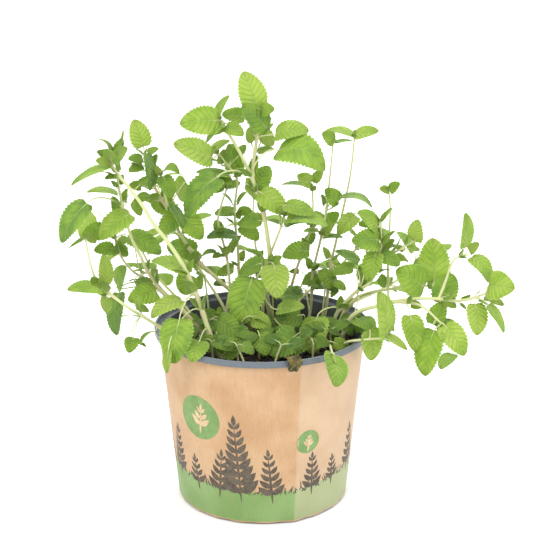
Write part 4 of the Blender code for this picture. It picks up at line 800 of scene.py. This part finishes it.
     [(2, (-25.5, 111.5, -3), (-20, 97.5, -8), 10, 8, -2), (0, (-22, 92.5, -9), (-14.5, 104, -2), 150, 4, 1),
      (2, (-32, 110, 3), (-38, 105, 4), 40, 8, 0), (2, (-18, 110.5, -2), (-12, 104, -4), 40, 8, -1)]),
    ("centre_stem", 2.2, (-7, 4),
     [(-8, 108, 2), (-7.5, 122, 0), (-4.5, 134, -3), (0, 142, -5), (4, 147, -6)],
     [(2, (-6, 136.5, -6), (-14, 107, -8), 14, 8, 0), (4, (7, 145, -4), (9, 124, -16), 8, 8, 2),
      (3, (-1, 146, 4), (-14, 139.5, 6), 42, 6, -1), (4, (11, 124.5, 6), (24.5, 127, 8), 46, 6, -1),
      (2, (9, 117, -12), (25.5, 118.5, -4), 54, 8, 0)]),
]
REAR_SHOOTS = [
    ("rear_left_stem", 1.8, (-22, 38),
     [(-25, 122, 42), (-37, 142, 60), (-47, 162, 70), (-56, 179, 78), (-61, 193, 82)]),
    ("rear_middle_stem", 1.8, (4, 44), [(3, 124, 47), (-2, 146, 64), (-5, 167, 72), (-5, 187, 78)]),
    ("rear_right_stem", 1.8, (20, 43), [(23, 124, 47), (43, 141, 64), (55, 154, 70), (65, 164, 74)]),
    ("rear_far_right_stem", 1.8, (44, 23), [(47, 117, 26), (74, 131, 44), (90, 143, 54), (101, 153, 60)]),
    ("rear_far_left_stem", 1.8, (-43, 24), [(-45, 117, 27), (-63, 138, 46), (-72, 155, 54), (-80, 169, 58)]),
]
REAR_LEAF = 21.0
REAR_TOP_LEAF = 12.0
REAR_STALK = 9.0
REAR_SEED = 5
BLUSH = {"back_red_stem": 0.95, "left_low_stem": 0.75, "left_branch_stem": 0.6, "right_back_stem": 0.35,
         "right_tall_stem": 0.3, "middle_thin_stem": 0.5, "leader_stem": 0.35, "right_middle_stem": 0.45,
         "left_upright_stem": 0.45, "rear_left_stem": 0.3, "rear_right_stem": 0.3}
DEFAULT_BLUSH = 0.25


def sighted(x, z, back):
    """The point seen at (x, z) on the upright plane through the pot's axis, lying `back` behind it."""
    return EYE + (Vector((x, 0.0, z)) - EYE) * (1.0 - back / EYE.y)


def leaf_marks(bm):
    """What the finishes read: a blade's own u and v, a leaf's tone with its painted light and shade, and how
    pink a stem has turned.
    """
    bm.loops.layers.uv.new("Blade")
    return SimpleNamespace(tone=bm.verts.layers.float.new("tone"), blush=bm.verts.layers.float.new("blush"))


def add_tube(bm, marks, line, girths, sides, blush):
    """A closed tube along a line of points, square with soft corners, its sides kept from twisting."""
    grid = bmesh.ops.create_grid(bm, x_segments=sides, y_segments=len(line) + 1, size=1.0,
                                 calc_uvs=True)["verts"]
    side = Vector((1, 0, 0))
    frames = []
    for i, point in enumerate(line):
        ahead = (line[min(i + 1, len(line) - 1)] - line[max(i - 1, 0)]).normalized()
        side = (side - ahead * side.dot(ahead)).normalized()
        frames.append((point, side, ahead.cross(side)))
    rows = [(frames[0], 0.0, 0)] + [(f, g / 2, i) for i, (f, g) in enumerate(zip(frames, girths))]
    rows.append((frames[-1], 0.0, len(line) - 1))
    for vert in grid:
        (point, side, other), half, i = rows[round((vert.co.y / 2 + 0.5) * (len(rows) - 1))]
        angle = math.tau * (round((vert.co.x / 2 + 0.5) * sides) % sides + 0.5) / sides
        a, b = math.cos(angle), math.sin(angle)
        soft = half * SQUARENESS / (a ** 4 + b ** 4) ** 0.25 if sides > 6 else half
        vert.co = point + side * (a * soft) + other * (b * soft)
        vert[marks.blush] = blush[i]
    faces = {face for vert in grid for face in vert.link_faces}
    for face in faces:
        face.material_index = STEM
    bmesh.ops.remove_doubles(bm, verts=grid, dist=0.004)


def outline_width(u):
    """Half width of a blade over its greatest, from its base (0) to its tip (1)."""
    return max(0.0, math.sin(math.pi * min(u, 1) ** WIDEST)) ** FULLNESS


def blade_frame(base, tip, facing, roll):
    """Directions along and across a blade and out of its upper face. A roll turns that face upward."""
    along = (tip - base).normalized()
    toward = (facing - along * facing.dot(along)).normalized()
    turn = facing.cross(along).normalized()
    if along.x < 0:
        turn.negate()
    upper = toward * math.cos(roll) + turn * math.sin(roll)
    return along, along.cross(upper), upper


def add_blade(bm, marks, base, tip, facing, roll, arch, tone, seed):
    """One leaf blade from a grid: crenate edge, heart-shaped base, fold at the midrib and quilting."""
    along, across, upper = blade_frame(base, tip, facing, roll)
    length = (tip - base).length
    teeth = max(4, min(15, round(length / TOOTH)))
    rows = teeth * (4 if length > SHORT_LEAF else 3)
    columns = 10 if length > LONG_LEAF else 8 if length > SHORT_LEAF else 6
    grid = bmesh.ops.create_grid(bm, x_segments=columns, y_segments=rows, size=1.0, calc_uvs=True)["verts"]
    widest = LEAF_WIDTH * length / 2
    for vert in grid:
        v, u = vert.co.x, vert.co.y / 2 + 0.5
        a = abs(v)
        shape = outline_width(u)
        lobe = math.sin(math.pi * ((u * teeth) % 1.0)) ** 0.5
        half = widest * shape * (1 - NOTCH * (1 - lobe) * a ** 4)
        centre = base + along * (length * u) + upper * (4 * arch * u * (1 - u) * length)
        ahead = (along + upper * (4 * arch * (1 - 2 * u))).normalized()
        out = across.cross(ahead)
        back = HEART * length * (a * shape) ** 1.2 * (1 - u) ** 3
        tuft = (u - VEIN_SLANT * a) * SIDE_VEINS % 1.0
        rise = half * (FOLD * a - CUP * a * a)
        rise += QUILT * length * math.sin(math.pi * tuft) * (1 - a ** 3) * shape
        rise += WAVE * length * a ** 3 * noise.noise(Vector((u * 3.2, v * 1.4, seed)))
        vert.co = centre + across * (v * half) + out * rise - ahead * back
        vert[marks.tone] = tone
    bmesh.ops.remove_doubles(bm, verts=grid, dist=0.01)
    faces = {face for vert in grid if vert.is_valid for face in vert.link_faces}
    for face in thicken(bm, faces, LEAF_THICKNESS):
        face.material_index = UPPER if face.normal.dot(upper) > 0.0 else UNDER


def add_leaf(bm, marks, joint, base, tip, facing, roll, arch, grow, tone, seed, blush):
    """A leaf on its stalk: the stalk bends out of the stem and runs on under the blade as its midrib."""
    add_blade(bm, marks, base, tip, facing, roll, arch, tone, seed)
    length = (tip - base).length
    reach = (base - joint).length
    along, across, upper = blade_frame(base, tip, facing, roll)
    bend_a = joint + grow * (STALK_BEND * reach)
    bend_b = base - along * (STALK_BEND * reach)
    steps = max(4, min(10, round(reach / 2.2)))
    thick = STALK_GIRTH + STALK_GAIN * length
    line, girths = [], []
    for i in range(steps + 1):
        t = i / steps
        line.append(joint * (1 - t) ** 3 + bend_a * (3 * t * (1 - t) ** 2) + bend_b * (3 * t * t * (1 - t))
                    + base * t ** 3)
        girths.append(thick * (1.15 - 0.35 * t))
    for u, share in MIDRIB:
        line.append(base + along * (length * u) + upper * (4 * arch * u * (1 - u) * length - 0.12))
        girths.append(thick * share)
    add_tube(bm, marks, line, girths, 6, [blush * max(0.0, 1 - 2.5 * i / steps) for i in range(len(line))])


def stem_line(foot, route):
    """A stem's own points: up out of the compost, then along its route."""
    points = [sighted(*place) for place in route]
    if foot:
        points.insert(0, Vector((*foot, COMPOST_LEVEL + UPRIGHT_FOOT)))
        points.insert(0, Vector((*foot, COMPOST_LEVEL - BURIED)))
    return points


def add_stem(bm, marks, points, girth, foot, joints, blush):
    """A stem that thins towards its tip, swells a little at its joints and is pinkest at its foot."""
    straight = 2 if foot else 1
    spans = max(len(points) - straight, 1)
    top = max(TAPER * girth, THINNEST)
    line, girths, pink = [], [], []
    for place, point in smooth_route(points, 4):
        near = min((abs(place - joint) for joint in joints), default=9.0)
        knot = math.exp(-(near / KNOT_REACH) ** 2)
        line.append(point)
        thinned = girth + (top - girth) * max(0.0, place - straight + 1) / spans
        girths.append(thinned * (1 + KNOT_SWELL * knot))
        fade = 1 - place / (len(points) - 1)
        pink.append(min(1.0, blush * (0.25 + 0.95 * fade) + 0.35 * knot))
    add_tube(bm, marks, line, girths, 8, pink)
    add_down(bm, line, girths)


def add_down(bm, line, girths):
    """Short soft hairs all round a stem, leaning towards its tip."""
    rng = random.Random(len(line) + int(abs(line[-1].x) * 10))
    hairs = []
    for i in range(1, len(line)):
        reach = line[i] - line[i - 1]
        for k in range(int(reach.length * HAIRS_PER_MM + rng.random())):
            out = reach.orthogonal().normalized()
            out.rotate(Quaternion(reach, rng.uniform(0, math.tau)))
            axis = (out + reach.normalized() * rng.uniform(0.1, 0.6)).normalized()
            at = line[i - 1] + reach * rng.random() + out * (girths[i] * 0.45) + axis * (HAIR_LENGTH / 2)
            stand = Matrix.LocRotScale(at, axis.to_track_quat("Z", "Y"), None)
            hairs += bmesh.ops.create_cone(bm, segments=3, radius1=HAIR_THICKNESS / 2, radius2=0.0,
                                           depth=HAIR_LENGTH * rng.uniform(0.6, 1.2), matrix=stand)["verts"]
    for face in {face for vert in hairs for face in vert.link_faces}:
        face.material_index = DOWN


def add_buds(bm, marks, point, grow, size, stalk, tone, rng, blush):
    """A pair of small young leaves on short stalks, at a shoot's tip or in a joint."""
    sideways = grow.cross(Vector((rng.uniform(-1, 1), rng.uniform(-1, 1), 0.3))).normalized()
    for side in (-1, 1):
        spread = (grow + sideways * side * rng.uniform(0.5, 1.0)).normalized()
        base = point + spread * stalk
        tip = base + spread * size * rng.uniform(0.8, 1.2)
        facing = grow - spread * 0.6
        add_leaf(bm, marks, point, base, tip, facing, 0.0, 0.10, grow, tone, rng.random() * 9, blush)


def paired_leaves(path, rng):
    """Opposite leaves at the joints of a rear shoot, each pair a quarter turn on, smaller towards its top."""
    leaves = []
    joints = range(3, len(path))
    for k in joints:
        grow = (path[k] - path[k - 1]).normalized()
        sideways = grow.cross(Vector((0, 1, 0))).normalized()
        share = (k - joints[0]) / max(len(joints) - 1, 1)
        length = REAR_LEAF + (REAR_TOP_LEAF - REAR_LEAF) * share
        turn = k * math.pi / 2 + rng.uniform(-0.3, 0.3)
        for half_turn in (0, math.pi):
            out = Quaternion(grow, turn + half_turn) @ sideways
            stalk = REAR_STALK * rng.uniform(0.8, 1.2)
            base = path[k] + out * (0.8 * stalk) + grow * (0.6 * stalk)
            fall = Vector((0, 0, rng.uniform(-0.45, 0.1)))
            tip = base + (out + fall).normalized() * (length * rng.uniform(0.9, 1.1))
            facing = Vector((0, 0, 1)) + out * 0.2
            leaves.append((path[k] - grow * SUNK, base, tip, facing, rng.uniform(-0.2, 0.2), 0.12, grow, k))
    return leaves


def vein_group():
    """The veins of a blade by its own u and v: midrib, side veins, fine net, and quilting between them."""
    group = bpy.data.node_groups.new("blade_veins", "ShaderNodeTree")
    for name in ("Midrib", "Side", "Net", "Quilt", "Margin"):
        group.interface.new_socket(name, in_out="OUTPUT", socket_type="NodeSocketFloat")
    result = group.nodes.new("NodeGroupOutput").inputs
    blade = add_node(group, "UVMap", uv_map="Blade").outputs[0]
    across, u = add_node(group, "SeparateXYZ", {0: blade}).outputs[:2]
    a = maths(group, "ABSOLUTE", maths(group, "MULTIPLY_ADD", across, 2.0, -1.0))
    rib_width = maths(group, "MULTIPLY_ADD", u, -0.045, 0.085)
    group.links.new(ramp_up(group, maths(group, "DIVIDE", a, rib_width), 1.0, 0.25), result["Midrib"])
    lean = maths(group, "MULTIPLY_ADD", a, -VEIN_SLANT, u)
    phase = maths(group, "FRACT", maths(group, "MULTIPLY", lean, float(SIDE_VEINS)))
    off = maths(group, "ABSOLUTE", maths(group, "SUBTRACT", phase, 0.5))
    side = maths(group, "MULTIPLY", ramp_up(group, off, 0.40, 0.49), ramp_up(group, a, 1.0, 0.72))
    group.links.new(side, result["Side"])
    tuft = maths(group, "MULTIPLY_ADD", maths(group, "MULTIPLY", off, off), -4.0, 1.0)
    group.links.new(tuft, result["Quilt"])
    spread = add_node(group, "Mapping", {"Vector": blade, "Scale": (15.0, 17.0, 1.0)}).outputs[0]
    cells = add_node(group, "TexVoronoi", {"Vector": spread, "Scale": 1.0}, feature="DISTANCE_TO_EDGE",
                     voronoi_dimensions="2D")
    group.links.new(ramp_up(group, cells.outputs["Distance"], 0.16, 0.02), result["Net"])
    group.links.new(ramp_up(group, a, 0.90, 0.99), result["Margin"])
    return group


VEINS = vein_group()


def grown_mark(tree, name):
    """A mark that was left on the stem or leaf as it was made."""
    return add_node(tree, "Attribute", attribute_name=name, attribute_type="GEOMETRY").outputs["Fac"]


def leaf_finish(name, pale, low):
    """A blade's face: a tone of its own carrying painted light and shade, paler veins with painted shade
    between them, quilted relief, a pale margin with a painted edge highlight, down, and light passing
    through.
    """
    finish = start_finish(name, 130.0, 1500.0, 1900.0, Specular_IOR_Level=0.30, Sheen_Weight=0.07,
                          Sheen_Roughness=0.45, Sheen_Tint=(0.80, 1.0, 0.70, 1.0))
    tree = finish.tree
    light = maths(tree, "MULTIPLY_ADD", grown_mark(tree, "tone"), TONE_AND_SHADE_STEP, MIDDLE_TONE_AND_SHADE)
    light = maths(tree, "MULTIPLY_ADD", maths(tree, "SUBTRACT", finish.blotch, 0.5), 0.42, light)
    shades = add_node(tree, "ValToRGB", {0: light})
    steps = shades.color_ramp.elements
    for i in range(1, len(LEAF_TONES_AND_SHADES) - 1):
        steps.new(i / (len(LEAF_TONES_AND_SHADES) - 1))
    for step, shade in zip(steps, LEAF_TONES_AND_SHADES):
        step.color = (*shade, 1.0)
    veins = add_node(tree, "Group", node_tree=VEINS).outputs
    lines = maths(tree, "MAXIMUM", veins["Midrib"], veins["Side"])
    # Painted shade between the veins, where the blade puckers.
    quilt_shade = maths(tree, "MULTIPLY", veins["Quilt"], maths(tree, "SUBTRACT", 1.0, veins["Net"]))
    colour = tint(tree, pale, shades.outputs[0], LEAF_PALE)
    # The margin is paler: partly the blade's own pale edge, partly a painted highlight along its rim.
    for mask, shade, share in ((quilt_shade, LEAF_QUILT_SHADE, 0.30), (veins["Net"], NET_GREEN, 0.275),
                               (lines, VEIN_GREEN, 0.55), (veins["Margin"], MARGIN_PALE_AND_HIGHLIGHT, 0.40),
                               (finish.grain, LEAF_DOWN, 0.08)):
        colour = tint(tree, mask, colour, shade, share)
    relief = maths(tree, "MULTIPLY_ADD", veins["Net"], -0.35, maths(tree, "SUBTRACT", veins["Quilt"], lines))
    end_finish(finish, colour, finish.grain, low, 0.15, relief, 0.34)
    bumped = finish.shader.inputs["Normal"].links[0].from_socket
    lit = tint(tree, 0.6, colour, LEAF_LIT)
    through = add_node(tree, "BsdfTranslucent", {"Color": lit, "Normal": bumped})
    both = add_node(tree, "MixShader", {0: GLOW, 1: finish.shader.outputs[0], 2: through.outputs[0]})
    tree.links.new(both.outputs[0], tree.nodes["Material Output"].inputs["Surface"])
    return finish.material


leaf_face = leaf_finish("leaf_upper_face", 0.03, 0.50)
leaf_back = leaf_finish("leaf_under_face", 0.36, 0.62)
finish = start_finish("stem_skin", 210.0, 1400.0, 1500.0, Specular_IOR_Level=0.35, Sheen_Weight=0.10,
                      Sheen_Roughness=0.4, Sheen_Tint=(1.0, 1.0, 0.9, 1.0))
tree = finish.tree
uneven = maths(tree, "SUBTRACT", finish.blotch, 0.5)
pink = maths(tree, "MULTIPLY_ADD", uneven, 0.35, grown_mark(tree, "blush"))
colour = tint(tree, ramp_up(tree, pink, 0.05, 0.95), STEM_GREEN, STEM_PINK)
colour = tint(tree, finish.blotch, colour, STEM_PALE, 0.3)
colour = tint(tree, finish.speck, colour, STEM_FLECK, 0.25)
relief = maths(tree, "ADD", fine_fibres(tree, finish.place, 1600.0, 0.12), finish.grain)
stem_skin = end_finish(finish, colour, finish.grain, 0.5, 0.15, relief, 0.06)
finish = start_finish("stem_down", 300.0, 1500.0, 1500.0, Specular_IOR_Level=0.3)
colour = tint(finish.tree, finish.blotch, HAIR_GREEN, HAIR_PALE)
stem_down = end_finish(finish, colour, None, 0.6, 0.0, finish.grain, 0.02)
FOLIAGE = [leaf_face, leaf_back, stem_skin, stem_down]

sprouts = {}


def sprout(node):
    """The mesh that a node's shoots are gathered in, with its marks, and how pink its stems are."""
    if node not in sprouts:
        bm = bmesh.new()
        sprouts[node] = (bm, leaf_marks(bm))
    return *sprouts[node], BLUSH.get(node, DEFAULT_BLUSH)


def growing(points, i):
    """The direction in which a stem reaches one of its points."""
    return (points[i] - points[i - 1]).normalized()


rng = random.Random(23)
for node, girth, foot, route, leaves in SHOOTS:
    bm, marks, blush = sprout(node)
    points = stem_line(foot, route)
    offset = len(points) - len(route)
    joints = sorted({leaf[0] for leaf in leaves})
    add_stem(bm, marks, points, girth, foot, {joint + offset for joint in joints}, blush)
    for joint, base, tip, roll, arch, tone in leaves:
        depth = route[joint][2] + base[2]
        start = sighted(base[0], base[1], depth)
        end = sighted(tip[0], tip[1], depth + tip[2])
        grow = growing(points, max(joint + offset, 1))
        add_leaf(bm, marks, points[joint + offset] - grow * SUNK, start, end, EYE - start, math.radians(roll),
                 arch / 100, grow, tone + rng.uniform(-0.6, 0.6), rng.random() * 9, blush)
    add_buds(bm, marks, points[-1], growing(points, -1), TIP_LEAF, TIP_STALK, YOUNG_TONE, rng, blush)
    for joint in joints:
        if 1 <= joint < len(route) - 1 and route[joint][1] > LOWEST_AXIL:
            at = joint + offset
            add_buds(bm, marks, points[at], growing(points, at), rng.uniform(*AXIL_LEAF),
                     rng.uniform(*AXIL_STALK), rng.uniform(-0.5, YOUNG_TONE), rng, blush)
rear_rng = random.Random(REAR_SEED)
for node, girth, foot, route in REAR_SHOOTS:
    bm, marks, blush = sprout(node)
    points = stem_line(foot, route)
    leaves = paired_leaves(points, rear_rng)
    add_stem(bm, marks, points, girth, foot, {leaf[-1] for leaf in leaves}, blush)
    for joint, base, tip, facing, roll, arch, grow, place in leaves:
        # Rear leaves lean to light tones: painted light, for leaves lit from behind.
        add_leaf(bm, marks, joint, base, tip, facing, roll, arch, grow, rng.uniform(-0.2, 1.4),
                 rng.random() * 9, blush)
    for i in range(3, len(points)):
        add_buds(bm, marks, points[i], growing(points, i), rng.uniform(5.0, 9.0), 2.5, YOUNG_TONE, rng, blush)
for node, (bm, marks) in sprouts.items():
    dress("leafy_" + node, bm, FOLIAGE, [node], 50)

# Seedlings: the pot was sown thickly, so young shoots and long-stalked leaves stand between the main stems
# and shade the compost. They grow from the compost and stay within the rim, and the lowest are painted
# darkest, as painted shade under the taller stems.
SEEDLINGS = 34
SEEDLING_GIRTH = 0.9
SEEDLING_REACH = 50.0
GOLDEN_TURN = 0.618034
REAR_HEIGHTS = (16, 34)
FRONT_HEIGHTS = (7, 16)
REAR_LENGTHS = (6.0, 9.5)
FRONT_LENGTHS = (8.0, 13.5)
MOUTH_REACH = 56.0
# Long-stalked leaves that show inside the front of the rim: base and tip as (x, z, back), then arch and tone,
# whose low values are painted shade inside the pot.
FLOOR_LEAVES = [((-24, 87.5, -35), (-13, 103, -31), 8, -1.4), ((-2, 101.5, -30), (3, 87.5, -40), 8, -0.9),
                ((21, 101.0, -27), (3.5, 88.5, -38), 10, -1.1),
                ((-5.5, 112.0, -18), (5.5, 106.5, -26), 20, 0.9),
                ((-27, 110.0, -14), (-12.5, 101.5, -24), 10, -1.3),
                ((31, 98.0, -33), (41, 94.5, -36), 10, -0.9), ((23, 113.5, -8), (7, 110.5, -14), 12, -1.6),
                ((43, 96.0, -30), (53, 92.5, -30), 12, -0.1), ((53, 110.0, -4), (66, 104.5, -8), 12, -1.4),
                ((-37, 99.0, -24), (-28, 90.0, -32), 10, -1.2),
                ((-16, 104.0, -22), (-7, 94.5, -32), 10, -2.0)]
seedlings_mesh = bmesh.new()
leaf_marks(seedlings_mesh)
seedling_copy = bpy.data.meshes.new("seedling_copy")
rng = random.Random(77)
for k in range(SEEDLINGS + len(FLOOR_LEAVES)):
    seedling = bmesh.new()
    marks = leaf_marks(seedling)
    if k < len(FLOOR_LEAVES):
        base, tip, arch, tone = FLOOR_LEAVES[k]
        start, end = sighted(*base), sighted(*tip)
        foot = Vector((start.x * 0.85 + rng.uniform(-5, 5), start.y * 0.8 + rng.uniform(4, 14),
                       COMPOST_LEVEL - 2))
        add_leaf(seedling, marks, foot, start, end, EYE - start, 0.0, arch / 100, Vector((0, 0, 1)), tone,
                 rng.random() * 9, 0.35)
    else:
        angle = math.tau * (k * GOLDEN_TURN % 1.0)
        reach = SEEDLING_REACH * math.sqrt((k - len(FLOOR_LEAVES) + 0.5) / SEEDLINGS)
        foot = round_axis(reach, angle, COMPOST_LEVEL - 3)
        rear = foot.y > 12
        tall = rng.uniform(*(REAR_HEIGHTS if rear else FRONT_HEIGHTS))
        lean = Vector((rng.uniform(-0.4, 0.4), rng.uniform(-0.4, 0.2), 0)) + Vector((foot.x, foot.y, 0)) / 300
        points = [foot, foot + Vector((0, 0, 4)) + lean,
                  foot + Vector((0, 0, 3 + tall * 0.55)) + lean * tall * 0.4,
                  foot + Vector((0, 0, 3 + tall)) + lean * tall * 0.85]
        add_stem(seedling, marks, points, SEEDLING_GIRTH * rng.uniform(0.9, 1.5), None, {3}, 0.4)
        grow = (points[3] - points[2]).normalized()
        turn = rng.uniform(0, math.tau)
        for half_turn in (0, math.pi):
            out = round_axis(1, turn + half_turn, rng.uniform(0.0, 0.6)).normalized()
            base = points[3] + out * rng.uniform(2.0, 5.0) + grow * 2.0
            fall = Vector((0, 0, rng.uniform(-0.7, 0.1)))
            length = rng.uniform(*(REAR_LENGTHS if rear else FRONT_LENGTHS))
            tip = base + (out + fall).normalized() * length
            if max(math.hypot(tip.x, tip.y), math.hypot(base.x, base.y)) < MOUTH_REACH:
                # The dark tones given here are painted shade.
                add_leaf(seedling, marks, points[3], base, tip, Vector((0, -0.7, 1)), 0.0, 0.12, grow,
                         rng.uniform(-2.5, -1.2), rng.random() * 9, 0.4)
    seedling.to_mesh(seedling_copy)
    seedling.free()
    seedlings_mesh.from_mesh(seedling_copy)
bpy.data.meshes.remove(seedling_copy)
dress("seedlings", seedlings_mesh, FOLIAGE, (), 50)

# Studio: the plant stands on a plain pale floor that runs far back, in soft even light from large panels,
# with the camera a little above the rim and far off, as for a catalogue picture.
VIEW_DISTANCE = 0.932
VIEW_HEIGHT = math.radians(17.95)
VIEW_TARGET = Vector((0.0077, 0, 0.1388))
FRAME_PIXELS = 550
FOCAL_PIXELS = 1560.0
SENSOR = 36.0
FLOOR_REACH = 30.0
PANELS_AIM = Vector((0, 0, 0.13))
floor_mesh = bmesh.new()
bmesh.ops.create_circle(floor_mesh, cap_ends=True, segments=96, radius=FLOOR_REACH)
mesh = bpy.data.meshes.new("studio_floor")
floor_mesh.to_mesh(mesh)
floor_mesh.free()
studio_floor = bpy.data.objects.new("studio_floor", mesh)
studio_floor.location.z = -0.0002
bpy.context.scene.collection.objects.link(studio_floor)
paper = bpy.data.materials.new("white_paper")
paper.use_nodes = True
paper_shader = paper.node_tree.nodes["Principled BSDF"]
for name, value in (("Base Color", (0.93, 0.93, 0.93, 1.0)), ("Roughness", 0.9), ("Specular IOR Level", 0.1)):
    paper_shader.inputs[name].default_value = value
mesh.materials.append(paper)
for name, at, size, power, warmth in (("key_panel", (-0.9, -1.3, 1.5), 1.1, 21.0, (1.0, 0.99, 0.97)),
                                      ("fill_panel", (1.3, -1.0, 0.8), 1.2, 8.0, (0.97, 0.99, 1.0)),
                                      ("top_panel", (0.1, 0.5, 1.5), 1.0, 9.0, (1.0, 1.0, 1.0)),
                                      ("back_panel", (0.4, 1.3, 0.6), 1.0, 9.0, (1.0, 1.0, 0.98))):
    panel = bpy.data.lights.new(name, "AREA")
    panel.shape = "SQUARE"
    panel.size = size
    panel.energy = power
    panel.color = warmth
    lamp = bpy.data.objects.new(name, panel)
    lamp.location = at
    lamp.rotation_euler = (PANELS_AIM - lamp.location).to_track_quat("-Z", "Y").to_euler()
    bpy.context.scene.collection.objects.link(lamp)
world = bpy.data.worlds.new("white_room")
world.use_nodes = True
world.node_tree.nodes["Background"].inputs["Color"].default_value = (1.0, 1.0, 1.0, 1.0)
world.node_tree.nodes["Background"].inputs["Strength"].default_value = 1.15
bpy.context.scene.world = world
camera = bpy.data.objects.new("camera", bpy.data.cameras.new("camera"))
camera.location = VIEW_TARGET + Vector((0, -math.cos(VIEW_HEIGHT), math.sin(VIEW_HEIGHT))) * VIEW_DISTANCE
camera.rotation_euler = (VIEW_TARGET - camera.location).to_track_quat("-Z", "Y").to_euler()
camera.data.sensor_width = SENSOR
camera.data.lens = FOCAL_PIXELS * SENSOR / FRAME_PIXELS
camera.data.clip_start = 0.01
bpy.context.scene.collection.objects.link(camera)
bpy.context.scene.camera = camera
bpy.context.scene.view_settings.view_transform = "Standard"
